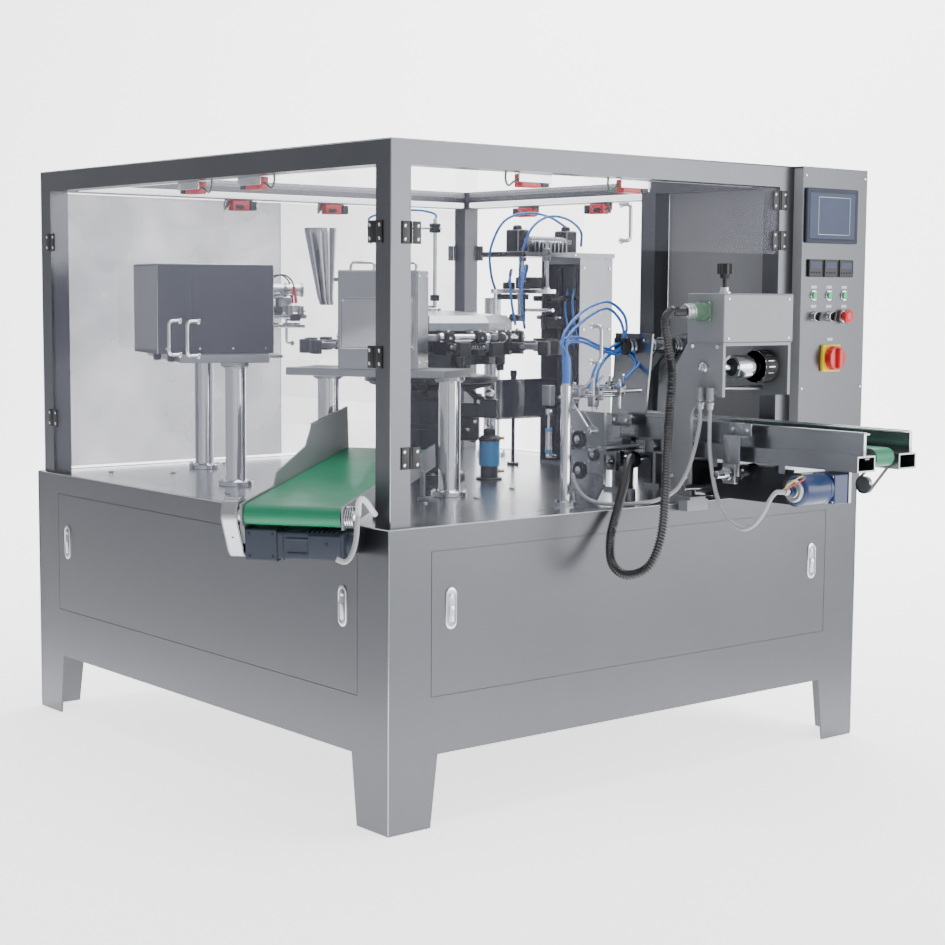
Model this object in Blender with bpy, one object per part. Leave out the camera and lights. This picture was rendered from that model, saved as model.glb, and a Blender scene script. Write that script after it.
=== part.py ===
"""A rotary horizontal packaging machine: eight grippers on a turret, in a glazed enclosure.

Metres, +Z up. +X runs to the right along the front and +Y towards the back. Every piece is drawn in
the machine's own frame, whose origin is the base's front left corner on the floor. The last lines
centre the whole machine over the world's origin.
"""

import math

import bmesh
import bpy
from mathutils import Matrix, Vector

# General sizes
GAP = 0.0003  # clearance between pieces that seat on each other
WALL = 0.002  # thin stainless covers
SIDES = 16  # facets of a large round piece
FEW_SIDES = 12  # facets of a small round piece

# Base cabinet
BASE_W = 1.742
BASE_D = 1.837
DECK_Z = 0.750
DECK_THICK = 0.012
BASE_WALL = 0.006
SKIRT_Z = 0.183
LEG_FOOT = 0.130
LEG_TOP = 0.152
LEDGE = 0.025
LEDGE_THICK = 0.006
PANEL_SHEET = 0.003
PANEL_LAP = 0.015
PANEL_SEAM = 0.0015
PANEL_X = (0.130, BASE_W - 0.137)
PANEL_Y = (0.127, BASE_D - 0.131)
PANEL_Z = (0.328, DECK_Z - 0.060)
PULL_INSET = 0.060
PULL_SIZE = (0.030, 0.100)
PULL_PROUD = 0.002

# Enclosure
TOP_Z = 1.680
TUBE = 0.060
FRAME_INSET = 0.016
GLASS = 0.008
DOOR_EDGE = 0.0006
DOOR_TOP_GAP = 0.003
DOOR_FOOT_GAP = 0.011
DOOR_SPLIT_GAP = 0.003
FRONT_SPLIT = 0.719
LEFT_SPLIT = 0.938
REAR_SPLIT = 0.900
RIGHT_SPLIT = 1.190
SHORT_DOOR_Z = TOP_Z - 0.248
CUTOUT_Y = 0.507
CUTOUT_Z = 1.050
HANDLE_LENGTH = 0.104
HANDLE_STAND = 0.036
HANDLE_ROD = 0.010
HANDLE_EDGE = 0.048
HANDLE_Z = 1.187
SHORT_HANDLE_Z = TOP_Z - 0.178
ROOF = 0.005

# Electric cabinet
CABINET_X = (BASE_W - 0.292, BASE_W - 0.007)
CABINET_Y = (-0.016, 0.510)
CABINET_WALL = 0.003
CONTROL_X = (BASE_W - 0.235, BASE_W - 0.168, BASE_W - 0.101)
SCREEN_SIZE = (0.225, 0.155)
SCREEN_Z = TOP_Z - 0.137
SCREEN_PROUD = 0.007
METER_SIZE = (0.060, 0.049)
METER_PITCH = 0.067
METER_Z = TOP_Z - 0.286
METER_PROUD = 0.006
BUTTON_Z = TOP_Z - 0.364
SELECTOR_Z = TOP_Z - 0.424
SWITCH_Z = TOP_Z - 0.544
SWITCH_X = BASE_W - 0.159
BUTTON_R = 0.011
BUTTON_OUT = 0.008
BUTTON_IN = 0.014
MUSHROOM_R = 0.020
SWITCH_R = 0.022

# Turret and stations
TURRET = (0.850, 0.920)
STATIONS = 8
STATION_TURN = math.radians(208)
SHAFT_R = 0.030
COLUMN_R = 0.070
COLUMN_FLANGE = (0.105, 0.018)
COLUMN_HEAD = (0.120, 0.050)
TABLE_R = 0.200
TABLE_Z = (1.105, 1.138)
HUB_R = 0.120
SPINDLE_R = 0.050
LID_R = (0.245, 0.228, 0.060)
LID_Z = (1.205, 1.229, 1.249, 1.262)
LID_WALL = 0.003
ARM_REACH = (0.166, 0.278)
ARM_SIZE = (0.022, 0.056)
ARM_SPREAD = 0.050
ROD_REACH = 0.262
ROD_Z = 1.186
CROSS_ROD_R = 0.0105
CROSS_ROD_LENGTH = 0.156
JAW_SIZE = (0.120, 0.016, 0.040)
JAW_Z = 1.160
LEVER = (0.170, 0.044, 0.940, 0.984)
REAR_POST = (BASE_W - 0.207, BASE_D - 0.391, 0.028, 1.300)
POST_R = 0.030
POST_FLANGE = (0.050, 0.014)
SEALER_POSTS = ((0.268, 1.104), (0.468, 1.609))
SEALER_PLATE = (0.024, 0.260)
SEALER_BOX = (0.350, 0.270, 0.260)
SEALER_AT = (0.264, 1.275)
SEALER_TURN = math.radians(165)
SEALER_Z = 1.135
COOLER_POSTS = ((0.420, 0.850), (0.597, 0.514))
COOLER_PLATE = (0.022, 0.190)
COOLER_BOX = (0.116, 0.228, 0.270)
COOLER_REACH = 0.462
COOLER_TURN = math.radians(217)
COOLER_SHIFT = -0.065
COOLER_Z = 1.107
FUNNEL_AT = (0.715, 1.312)
FUNNEL_Z = (1.276, 1.300, 1.500, 1.516)
FUNNEL_R = (0.022, 0.050)
FUNNEL_SKEW = (0.015, -0.012)
FUNNEL_WALL = 0.0015
FUNNEL_POST = (1.030, 1.350)
FUNNEL_POST_R = 0.015
FUNNEL_SLEEVE_R = 0.025
FUNNEL_COLLAR_Z = (1.340, 1.372)
FUNNEL_POST_TOP = 1.420
FUNNEL_ARM = (0.022, 0.012)

# Pouch opening tower
TOWER_X = (BASE_W - 0.252, BASE_W - 0.107)
TOWER_Y = (0.950, 1.140)
TOWER_Z = 1.433
TOWER_WALL = 0.004
BRIDGE_X = TOWER_X[0] - 0.250
BRIDGE_THICK = 0.015
ROD_R = 0.006
ROD_AT = ((TOWER_X[0] - 0.115, 0.985), (TOWER_X[0] - 0.115, 1.105))
HEAD_Z = (TOWER_Z - 0.117, TOWER_Z - 0.103)
HEAD_X = (TOWER_X[0] - 0.235, TOWER_X[0] - 0.090)

# Bag magazine, which runs out of the front
RAIL_X = (1.080, 1.275)
RAIL_WALL = 0.010
RAIL_LIP = 0.022
RAIL_LIP_THICK = 0.004
RAIL_Z = (0.915, 0.970)
RAIL_Y = (-0.550, 0.420)
CHANNEL_X = (1.050, 1.286)
CHANNEL_W = 0.070
CHANNEL_WALL = 0.004
CHANNEL_Z = (0.873, 0.914)
CHANNEL_Y = (-0.556, 0.420)
CROSS_Y = (-0.300, -0.060, 0.340)
CROSS_SIZE = 0.022
FOOT_PLATE_X = (1.276, 1.386)
FOOT_PLATE_Y = (0.004, 0.014)
GUIDE_TOP = (0.205, 1.205)
GUIDE_FOOT_Y = (0.235, 0.372)
GUIDE_WALL = 0.006
GANTRY_X = (1.015, 1.285)
GANTRY_WALL = 0.010
GANTRY_Y = (-0.126, 0.004)
GANTRY_Z = (1.044, 1.188)
GANTRY_FOOT_Y = (-0.011, 0.075)
GANTRY_ARCH_Z = 0.985
FOOT_BLOCK = (0.985, 1.065, -0.034, 0.731, 0.752)
COVER_Z = 1.320
COVER_OUT = 0.004
CONNECTOR_AT = (-0.060, 1.272)
CONNECTOR_R = 0.021
CONNECTOR_LENGTH = 0.078
ROLLER_AT = (-0.060, 1.120)
ROLLER_SHAFT_R = 0.010
ROLLER_DRUM = (1.120, 1.200, 0.032)
ROLLER_WHEEL = (1.212, 1.262, 0.045)
PULLEY_AT = (-0.526, 0.905)
PULLEY_X = (1.134, 1.204)
PULLEY_R = 0.024
PULLEY_SHAFT_R = 0.008
BELT_WALL = 0.003
BELT_BACK_Y = 0.380
MOTOR_AT = (-0.450, 0.826)
MOTOR_X = (0.938, 1.046)
MOTOR_R = 0.038
MOTOR_FINS = (5, 0.018, 0.006)  # count, pitch and thickness
GEARBOX_X = 1.100
GEARBOX_SIZE = (0.076, 0.076)
MOTOR_BRACKET = 0.010
KNOB_AT = (1.085, -0.062)
KNOB_STEM_R = 0.006
KNOB_R = 0.022
KNOB_Z = (COVER_Z + 0.052, COVER_Z + 0.080)
KNOB_LOBES = 6
ARM_SHAFT_AT = (0.300, 1.167)
ARM_SHAFT_R = 0.018
ARM_JOURNAL_R = 0.010
ARM_BLADE = (0.100, -0.106)
CUP_R = 0.014
ADJUST_PLATE = (0.826, 0.836, 0.130, 0.288, 0.996)
ADJUST_SHAFTS = ((0.165, 0.894), (0.255, 0.894))
ADJUST_SHAFT_R = 0.008

# Discharge conveyor, drawn along its own +X from its outer end
EXIT_AT = (-0.153, 0.174)
EXIT_TURN = math.radians(37)
EXIT_SLOPE = math.radians(5)
EXIT_Z = 0.806
EXIT_LENGTH = 0.820
EXIT_BELT_W = 0.244
EXIT_ROLLER_R = 0.022
EXIT_SIDE_GAP = 0.003
EXIT_SIDE = 0.005
EXIT_GUARD = (0.240, 0.470, 0.055, 0.115)
EXIT_RIGHT_GUARD = (0.420, 0.560, 0.050)
EXIT_SHAFT_R = 0.007
EXIT_LEG_AT = (0.260, 0.690)
EXIT_LEG = 0.020
EXIT_MOTOR = (0.034, -0.100)
EXIT_MOTOR_BOX = (0.090, 0.250, 0.068)
EXIT_GEARBOX = (0.082, 0.078)
EXIT_COVER = (0.040, 0.040)

# Pieces that stand on the deck
HOSE_POST = (0.705, 0.150, 0.015, 1.083)
SCREEN_POST = (TOWER_X[0] - 0.140, 1.116, 0.006, 1.045)
SCREEN = (TOWER_X[0] - 0.198, TOWER_X[0] - 0.020, 1.096, 1.104, 0.911, 1.033)
CYLINDER_AT = (0.980, 0.797)
CYLINDER_R = 0.032
CYLINDER_Z = (0.792, 0.868, 0.884, 0.904)
CYLINDER_ROD_R = 0.008
CYLINDER_REACH = math.hypot(CYLINDER_AT[0] - TURRET[0], CYLINDER_AT[1] - TURRET[1])

# Hoses
FAT_HOSE_R = 0.0125
THIN_HOSE_R = 0.006
FAT_GLAND_AT = (0.985, 0.190)
THIN_GLAND_AT = (0.790, 0.215)
GLAND_H = 0.024
HOSE_STEP = 0.026
HOSE_START_Z = 1.0283
HOSE_START_X = 1.000
HOSE_START_Y = (-0.060, -0.096)
FAT_ROUTE = (
    (0.9327, -0.060, 1.272), (0.902, -0.060, 1.272), (0.882, -0.060, 1.272), (0.852, -0.070, 1.247),
    (0.842, -0.090, 1.190), (0.838, -0.110, 1.110), (0.812, -0.130, 1.020), (0.775, -0.160, 0.915),
    (0.740, -0.190, 0.800), (0.712, -0.205, 0.700), (0.690, -0.185, 0.625), (0.668, -0.130, 0.598),
    (0.668, -0.074, 0.622), (0.694, -0.040, 0.686), (0.742, -0.018, 0.762), (0.795, 0.014, 0.822),
    (0.858, 0.068, 0.862), (0.930, 0.132, 0.868), (0.975, 0.178, 0.856), (0.985, 0.190, 0.832),
    (0.985, 0.190, 0.804), (0.985, 0.190, 0.7755),
)
LEFT_ROUTE = (
    (1.000, -0.060, 1.0280), (1.000, -0.060, 0.996), (1.000, -0.060, 0.970), (0.990, -0.053, 0.905),
    (0.970, -0.044, 0.840), (0.942, -0.028, 0.790), (0.900, 0.000, 0.7640), (0.850, 0.018, 0.7575),
    (0.806, 0.032, 0.7565), (0.770, 0.062, 0.7575), (0.752, 0.102, 0.764), (0.752, 0.142, 0.782),
    (0.764, 0.178, 0.806), (0.780, 0.203, 0.822), (0.790, 0.215, 0.818), (0.790, 0.215, 0.798),
    (0.790, 0.215, 0.7755),
)
RIGHT_ROUTE = (
    (1.000, -0.096, 1.0280), (1.000, -0.096, 0.996), (1.000, -0.096, 0.970), (0.990, -0.108, 0.900),
    (0.980, -0.132, 0.825), (0.966, -0.170, 0.764), (0.946, -0.228, 0.726), (0.918, -0.296, 0.716),
    (0.888, -0.360, 0.734), (0.864, -0.412, 0.770), (0.852, -0.444, 0.808), (0.866, -0.4500, 0.8260),
    (0.888, -0.4500, 0.8260), (0.9150, -0.4500, 0.8260),
)

# Main drive under the deck
DRIVE_BOX = (0.300, 0.260, 0.190)
DRIVE_NECK = (0.050, 0.060)
DRIVE_MOTOR_R = 0.065
DRIVE_MOTOR_LENGTH = 0.260


def look(name, colour, roughness, metallic=0.0, alpha=1.0):
    """A Principled material of one colour."""
    made = bpy.data.materials.new(name)
    made.use_nodes = True
    made.diffuse_color = (*colour, alpha)
    shader = made.node_tree.nodes["Principled BSDF"]
    shader.inputs["Base Color"].default_value = (*colour, 1.0)
    shader.inputs["Roughness"].default_value = roughness
    shader.inputs["Metallic"].default_value = metallic
    shader.inputs["Alpha"].default_value = alpha
    return made


def block(x, y, z, soften=0.0):
    """A box between three (low, high) pairs, with its edges rounded by the size soften."""
    shape = bmesh.new()
    bmesh.ops.create_cube(shape, size=1.0)
    for vert in shape.verts:
        for axis, (low, high) in enumerate((x, y, z)):
            vert.co[axis] = high if vert.co[axis] > 0 else low
    if soften:
        bmesh.ops.bevel(shape, geom=shape.edges[:], offset=soften, segments=2, profile=0.5, affect="EDGES")
    return shape


def around(centre, size):
    """The (low, high) pair of a length centred on a point."""
    return centre - size / 2, centre + size / 2


def loft(rings):
    """A closed skin over rings of points that all have the same count, with flat end caps."""
    shape = bmesh.new()
    made = [[shape.verts.new(point) for point in ring] for ring in rings]
    for low, high in zip(made, made[1:]):
        for i in range(len(low)):
            j = (i + 1) % len(low)
            shape.faces.new((low[i], low[j], high[j], high[i]))
    shape.faces.new(made[0][::-1])
    shape.faces.new(made[-1])
    bmesh.ops.recalc_face_normals(shape, faces=shape.faces[:])
    return shape


def ring(centre, radius, sides=SIDES, turn=0.0):
    """Points of a level circle round (x, y, z)."""
    steps = [turn + 2 * math.pi * i / sides for i in range(sides)]
    return [(centre[0] + radius * math.cos(a), centre[1] + radius * math.sin(a), centre[2]) for a in steps]


def turned(at, profile, sides=SIDES, turn=0.0):
    """An upright turned solid from (radius, height) pairs, lowest first."""
    return loft([ring((at[0], at[1], height), radius, sides, turn) for radius, height in profile])


def prism(outline, axis, low, high):
    """An outline of 2D points pushed along X, Y or Z: (y, z), (x, z) or (x, y) points."""
    place = {
        "X": lambda p, d: (d, p[0], p[1]),
        "Y": lambda p, d: (p[0], d, p[1]),
        "Z": lambda p, d: (p[0], p[1], d),
    }[axis]
    return loft([[place(point, depth) for point in outline] for depth in (low, high)])


def rod(start, end, radius, sides=FEW_SIDES):
    """A round bar between two points."""
    start, end = Vector(start), Vector(end)
    axis = end - start
    shape = bmesh.new()
    bmesh.ops.create_cone(
        shape, cap_ends=True, segments=sides, radius1=radius, radius2=radius, depth=axis.length
    )
    turn = axis.to_track_quat("Z", "Y").to_matrix().to_4x4()
    shape.transform(Matrix.Translation((start + end) / 2) @ turn)
    return shape


def clear(radius, sides=SIDES):
    """The corner radius of a faceted hole that a round bar of this radius can turn in."""
    return (radius + GAP) / math.cos(math.pi / sides)


def placed(shape, at, turn=0.0, tilt=0.0):
    """The shape carried from a local frame: tilted about its own Y, then turned about Z, then moved."""
    shape.transform(Matrix.Translation(at) @ Matrix.Rotation(turn, 4, "Z") @ Matrix.Rotation(-tilt, 4, "Y"))
    return shape


def cover(x, y, z, soften):
    """A thin box open at the foot, as its outer shape and the cutters that hollow it and level its foot."""
    outer = block(x, y, (z[0] - soften, z[1]), soften)
    inner_x = (x[0] + WALL, x[1] - WALL)
    inner_y = (y[0] + WALL, y[1] - WALL)
    below = z[0] - 0.05
    level = block((x[0] - WALL, x[1] + WALL), (y[0] - WALL, y[1] + WALL), (below, z[0]))
    return outer, [block(inner_x, inner_y, (below, z[1] - WALL)), level]


def helper(shape):
    """A hidden object that holds one shape of a Boolean."""
    mesh = bpy.data.meshes.new("helper")
    shape.to_mesh(mesh)
    shape.free()
    obj = bpy.data.objects.new("helper", mesh)
    bpy.context.scene.collection.objects.link(obj)
    return obj


def solid(name, adds, finish, cuts=(), body=None, flat=False):
    """One closed piece: the first shape joined with the others, less the cuts, in the body's frame."""
    obj = helper(adds[0])
    tools = []
    for operation, shapes in (("UNION", adds[1:]), ("DIFFERENCE", cuts)):
        for shape in shapes:
            tools.append(helper(shape))
            step = obj.modifiers.new(operation.title(), "BOOLEAN")
            step.operation = operation
            step.object = tools[-1]
    bpy.context.view_layer.update()
    mesh = bpy.data.meshes.new_from_object(obj.evaluated_get(bpy.context.evaluated_depsgraph_get()))
    for spare in [obj, *tools]:
        bpy.data.objects.remove(spare, do_unlink=True)
    mesh.name = name
    if not flat:
        mesh.shade_smooth()
        mesh.set_sharp_from_angle(angle=math.radians(32))
    parent = BODIES[body] if body else MACHINE
    if body:
        mesh.transform(Matrix.Translation(-parent.location))
    piece = bpy.data.objects.new(name, mesh)
    piece.parent = parent
    piece.data.materials.clear()
    piece.data.materials.append(finish)
    bpy.context.scene.collection.objects.link(piece)
    return piece


def joint(body, at):
    """An empty on a moving body's axis, which carries the body's pieces."""
    empty = bpy.data.objects.new(body + "_axis", None)
    empty.empty_display_size = 0.05
    empty.location = at
    empty.parent = MACHINE
    bpy.context.scene.collection.objects.link(empty)
    BODIES[body] = empty
    return empty


def hose(name, route, radius, finish):
    """A tube on a smooth curve through the route's points, read off every HOSE_STEP."""
    points = [Vector(point) for point in route]
    padded = [2 * points[0] - points[1], *points, 2 * points[-1] - points[-2]]
    fine = []
    for a, b, c, d in zip(padded, padded[1:], padded[2:], padded[3:]):
        for i in range(16):
            t = i / 16
            fine.append(0.5 * (2 * b + (c - a) * t + (2 * a - 5 * b + 4 * c - d) * t**2
                               + (3 * b - a - 3 * c + d) * t**3))
    fine.append(points[-1])
    along = [0.0]
    for low, high in zip(fine, fine[1:]):
        along.append(along[-1] + (high - low).length)
    count = round(along[-1] / HOSE_STEP)
    read = []
    for i in range(count + 1):
        want = along[-1] * i / count
        j = min(max(k for k, length in enumerate(along) if length <= want), len(fine) - 2)
        share = (want - along[j]) / (along[j + 1] - along[j])
        read.append(fine[j].lerp(fine[j + 1], share))
    curve = bpy.data.curves.new(name, "CURVE")
    curve.dimensions = "3D"
    curve.bevel_depth = radius
    curve.bevel_resolution = 2
    curve.use_fill_caps = True
    spline = curve.splines.new("POLY")
    spline.points.add(len(read) - 1)
    for point, place in zip(spline.points, read):
        point.co = (*place, 1.0)
    piece = bpy.data.objects.new(name, curve)
    piece.parent = MACHINE
    curve.materials.append(finish)
    bpy.context.scene.collection.objects.link(piece)
    return piece


for old in list(bpy.data.objects):
    bpy.data.objects.remove(old, do_unlink=True)

MACHINE = bpy.data.objects.new("machine", None)
bpy.context.scene.collection.objects.link(MACHINE)
BODIES = {}

STAINLESS = look("satin stainless", (0.50, 0.51, 0.52), 0.34, 0.9)
DARK_STEEL = look("machined plate", (0.36, 0.37, 0.39), 0.38, 0.9)
CHROME = look("chrome", (0.80, 0.81, 0.83), 0.12, 1.0)
ACRYLIC = look("clear acrylic", (0.80, 0.82, 0.90), 0.05, 0.0, 0.25)
BLACK = look("black anodised", (0.02, 0.02, 0.022), 0.40)
RUBBER = look("black rubber", (0.015, 0.015, 0.016), 0.65)
GREEN_BELT = look("green belt", (0.02, 0.26, 0.13), 0.30)
NAVY = look("navy paint", (0.03, 0.07, 0.22), 0.35)
SKY = look("blue enamel", (0.03, 0.33, 0.75), 0.30)
RED = look("red plastic", (0.60, 0.01, 0.02), 0.35)
BUTTON_GREEN = look("green plastic", (0.02, 0.42, 0.12), 0.35)
SLATE = look("slate plastic", (0.10, 0.12, 0.16), 0.45)
GREY_HOSE = look("grey hose", (0.42, 0.43, 0.44), 0.55)


def side_outline(length):
    """A base wall seen square on: two tapered legs under a skirt, with the deck's edge on top."""
    return [
        (0, 0), (LEG_FOOT, 0), (LEG_TOP, SKIRT_Z), (length - LEG_TOP, SKIRT_Z),
        (length - LEG_FOOT, 0), (length, 0), (length, DECK_Z), (0, DECK_Z),
    ]


def leg_gap(length):
    """The space between two legs, as a cutter's outline that runs past the floor."""
    slope = (LEG_TOP - LEG_FOOT) / SKIRT_Z
    low = -0.02
    foot = LEG_FOOT + slope * low
    return [(foot, low), (length - foot, low), (length - LEG_TOP, SKIRT_Z), (LEG_TOP, SKIRT_Z)]


PANELS = {
    "front_panel": ("Y", 0.0, -1, PANEL_X),
    "rear_panel": ("Y", BASE_D, 1, PANEL_X),
    "left_panel": ("X", 0.0, -1, PANEL_Y),
    "right_panel": ("X", BASE_W, 1, PANEL_Y),
}


def slab(axis, depth, across, z):
    """A box given by the axis it faces, its depth pair along that axis, and its width pair."""
    low, high = sorted(depth)
    if axis == "Y":
        return block(across, (low, high), z)
    return block((low, high), across, z)


def make_base():
    past = 0.05
    deck_low = DECK_Z - DECK_THICK

    def inner(inset):
        return (inset, BASE_W - inset), (inset, BASE_D - inset)

    cuts = [
        block(*inner(BASE_WALL), (deck_low - GAP, DECK_Z + past)),
        block(*inner(BASE_WALL + LEDGE), (deck_low - GAP - LEDGE_THICK - 0.01, deck_low)),
        block(*inner(BASE_WALL), (-past, deck_low - GAP - LEDGE_THICK)),
        prism(leg_gap(BASE_W), "Y", -past, BASE_D + past),
        prism(leg_gap(BASE_D), "X", -past, BASE_W + past),
    ]
    for axis, face, out, across in PANELS.values():
        lap = (across[0] + PANEL_LAP, across[1] - PANEL_LAP)
        lap_z = (PANEL_Z[0] + PANEL_LAP, PANEL_Z[1] - PANEL_LAP)
        cuts.append(slab(axis, (face + out * past, face - out * (PANEL_SHEET + GAP)), across, PANEL_Z))
        cuts.append(slab(axis, (face + out * past, face - out * past), lap, lap_z))
    solid("base_cabinet", [block((0, BASE_W), (0, BASE_D), (0, DECK_Z))], STAINLESS, cuts, flat=True)


def pull_outline(centre, z):
    """A flush pull seen square on: a slot with round ends."""
    half = PULL_SIZE[0] / 2
    rise = PULL_SIZE[1] / 2 - half
    steps = [math.pi * i / 6 for i in range(7)]
    top = [(centre + half * math.cos(a), z + rise + half * math.sin(a)) for a in steps]
    low = [(centre - half * math.cos(a), z - rise - half * math.sin(a)) for a in steps]
    return top + low


def make_panels():
    z = (PANEL_Z[0] + PANEL_SEAM, PANEL_Z[1] - PANEL_SEAM)
    pull_z = (z[0] + z[1]) / 2 + 0.035
    for name, (axis, face, out, across) in PANELS.items():
        span = (across[0] + PANEL_SEAM, across[1] - PANEL_SEAM)
        middle = (span[0] + span[1]) / 2
        hinge = (middle, face, z[1]) if axis == "Y" else (face, middle, z[1])
        joint(name, hinge)
        adds = [slab(axis, (face, face - out * PANEL_SHEET), span, z)]
        push = sorted((face - out * PANEL_SHEET / 2, face + out * PULL_PROUD))
        for centre in (span[0] + PULL_INSET, span[1] - PULL_INSET):
            adds.append(prism(pull_outline(centre, pull_z), axis, *push))
        solid(name, adds, STAINLESS, body=name, flat=True)


def make_deck():
    inset = BASE_WALL + GAP
    adds = [block((inset, BASE_W - inset), (inset, BASE_D - inset), (DECK_Z - DECK_THICK, DECK_Z))]
    flange_r, flange_h = POST_FLANGE
    adds.append(turned(REAR_POST[:2], [(flange_r, DECK_Z - 0.004), (flange_r, DECK_Z + flange_h)]))
    adds.append(turned(REAR_POST[:2], [(REAR_POST[2], DECK_Z), (REAR_POST[2], REAR_POST[3])]))
    for at, radius in ((FAT_GLAND_AT, FAT_HOSE_R), (THIN_GLAND_AT, THIN_HOSE_R)):
        profile = [(radius + 0.005, DECK_Z - 0.004), (radius + 0.005, DECK_Z + GLAND_H - 0.006),
                   (radius + 0.002, DECK_Z + GLAND_H + 0.0012)]
        adds.append(turned(at, profile, FEW_SIDES))
    cuts = [turned(TURRET, [(SHAFT_R + 0.002, DECK_Z - 0.05), (SHAFT_R + 0.002, DECK_Z + 0.05)])]
    solid("deck_plate", adds, DARK_STEEL, cuts)


FRAME_X = (FRAME_INSET, BASE_W - FRAME_INSET)
FRAME_Y = (FRAME_INSET, BASE_D - FRAME_INSET)
CORNER_X = (CABINET_X[0] - GAP - TUBE, CABINET_X[0] - GAP)
CORNER_Y = (CABINET_Y[1] + GAP, CABINET_Y[1] + GAP + TUBE)


def make_frame():
    west, east = (FRAME_X[0], FRAME_X[0] + TUBE), (FRAME_X[1] - TUBE, FRAME_X[1])
    south, north = (FRAME_Y[0], FRAME_Y[0] + TUBE), (FRAME_Y[1] - TUBE, FRAME_Y[1])
    upright = (DECK_Z + GAP, TOP_Z)
    level = (TOP_Z - TUBE, TOP_Z)
    posts = [
        (west, south), (west, north), (east, north),
        (CORNER_X, south), (CORNER_X, CORNER_Y), (east, CORNER_Y),
    ]
    beams = [
        ((west[0], CORNER_X[1]), south), ((west[0], east[1]), north), (west, (south[0], north[1])),
        (east, (CORNER_Y[0], north[1])), (CORNER_X, (south[0], CORNER_Y[1])),
        ((CORNER_X[0], east[1]), CORNER_Y),
    ]
    adds = [block(x, y, upright) for x, y in posts] + [block(x, y, level) for x, y in beams]
    solid("upper_frame", adds, STAINLESS, flat=True)
    low = TOP_Z - 0.5 * TUBE
    inner_x = (west[1] + GAP, east[0] - GAP)
    inner_y = (south[1] + GAP, north[0] - GAP)
    notch = block((CORNER_X[0] - GAP, BASE_W), (0, CORNER_Y[1] + GAP), (low - 0.05, low + 0.05))
    solid("roof_panel", [block(inner_x, inner_y, (low, low + ROOF))], ACRYLIC, [notch], flat=True)


def doors():
    """Name, the axis it faces, its outer face, which way is out, hinge end, free end, and foot height."""
    foot = DECK_Z + DOOR_FOOT_GAP
    half = DOOR_SPLIT_GAP / 2
    post = TUBE + DOOR_EDGE
    west, east = FRAME_X[0] + post, FRAME_X[1] - post
    south, north = FRAME_Y[0] + post, FRAME_Y[1] - post
    right_south = CORNER_Y[1] + DOOR_EDGE
    return [
        ("front_left_door", "Y", FRAME_Y[0], -1, west, FRONT_SPLIT - half, foot),
        ("front_right_door", "Y", FRAME_Y[0], -1, CORNER_X[0] - DOOR_EDGE, FRONT_SPLIT + half, SHORT_DOOR_Z),
        ("left_near_door", "X", FRAME_X[0], -1, south, LEFT_SPLIT - half, foot),
        ("left_far_door", "X", FRAME_X[0], -1, north, LEFT_SPLIT + half, foot),
        ("rear_left_door", "Y", FRAME_Y[1], 1, west, REAR_SPLIT - half, foot),
        ("rear_right_door", "Y", FRAME_Y[1], 1, east, REAR_SPLIT + half, foot),
        ("right_near_door", "X", FRAME_X[1], 1, right_south, RIGHT_SPLIT - half, foot),
        ("right_far_door", "X", FRAME_X[1], 1, north, RIGHT_SPLIT + half, foot),
    ]


def pull_bar(axis, face, out, across, z, bury):
    """A D handle: a bar on two short legs, whose feet sit at the depth bury from the glass."""
    def point(depth, height):
        place = (across, face + out * depth) if axis == "Y" else (face + out * depth, across)
        return (*place, height)
    radius = HANDLE_ROD / 2
    ends = (z - HANDLE_LENGTH / 2 + radius, z + HANDLE_LENGTH / 2 - radius)
    adds = [rod(point(HANDLE_STAND, ends[0] - radius), point(HANDLE_STAND, ends[1] + radius), radius)]
    for height in ends:
        adds.append(rod(point(bury, height), point(HANDLE_STAND, height), radius * 0.98, 10))
    return adds


def make_doors():
    top = TOP_Z - TUBE - DOOR_TOP_GAP
    for name, axis, face, out, hinge, free, foot in doors():
        past = math.copysign(DOOR_EDGE / 2, free - hinge)
        joint(name, (hinge - past, face, foot) if axis == "Y" else (face, hinge - past, foot))
        low, high = sorted((hinge, free))
        adds = [slab(axis, (face, face - out * GLASS), (low, high), (foot, top))]
        cuts = []
        if name == "left_near_door":
            past = 0.05
            corner = ((low - past, CUTOUT_Y), (foot - past, CUTOUT_Z))
            cuts.append(slab(axis, (face - past, face + past), *corner))
        grip_z = SHORT_HANDLE_Z if foot == SHORT_DOOR_Z else HANDLE_Z
        grip = free - math.copysign(HANDLE_EDGE, free - hinge)
        if name.startswith(("front", "left")):
            bar = pull_bar(axis, face, out, grip, grip_z, GAP)
            solid(name.replace("door", "handle"), bar, CHROME, body=name)
        else:
            adds += pull_bar(axis, face, out, grip, grip_z, -GLASS / 2)
        solid(name, adds, ACRYLIC, cuts, body=name, flat=True)


def make_cabinet():
    low, high = DECK_Z + GAP, TOP_Z
    front = CABINET_Y[0]
    wall = CABINET_WALL
    adds = [block(CABINET_X, CABINET_Y, (low, high))]
    depth = (front - METER_PROUD, front + wall / 2)
    for step in (-METER_PITCH, 0.0, METER_PITCH):
        across = around(CONTROL_X[1] + step, METER_SIZE[0])
        adds.append(block(across, depth, around(METER_Z, METER_SIZE[1])))
    inner_x = (CABINET_X[0] + wall, CABINET_X[1] - wall)
    inner_y = (front + wall, CABINET_Y[1] - wall)
    cuts = [block(inner_x, inner_y, (low - 0.05, high - wall))]
    for x, z, radius, *_ in CONTROLS.values():
        cuts.append(rod((x, front - 0.02, z), (x, front + 0.02, z), clear(radius), SIDES))
    solid("electric_cabinet", adds, STAINLESS, cuts, flat=True)
    screen = block(around(CONTROL_X[1], SCREEN_SIZE[0]), (front - GAP - SCREEN_PROUD, front - GAP),
                   around(SCREEN_Z, SCREEN_SIZE[1]), 0.0015)
    solid("touch_screen", [screen], SLATE, flat=True)


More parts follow.
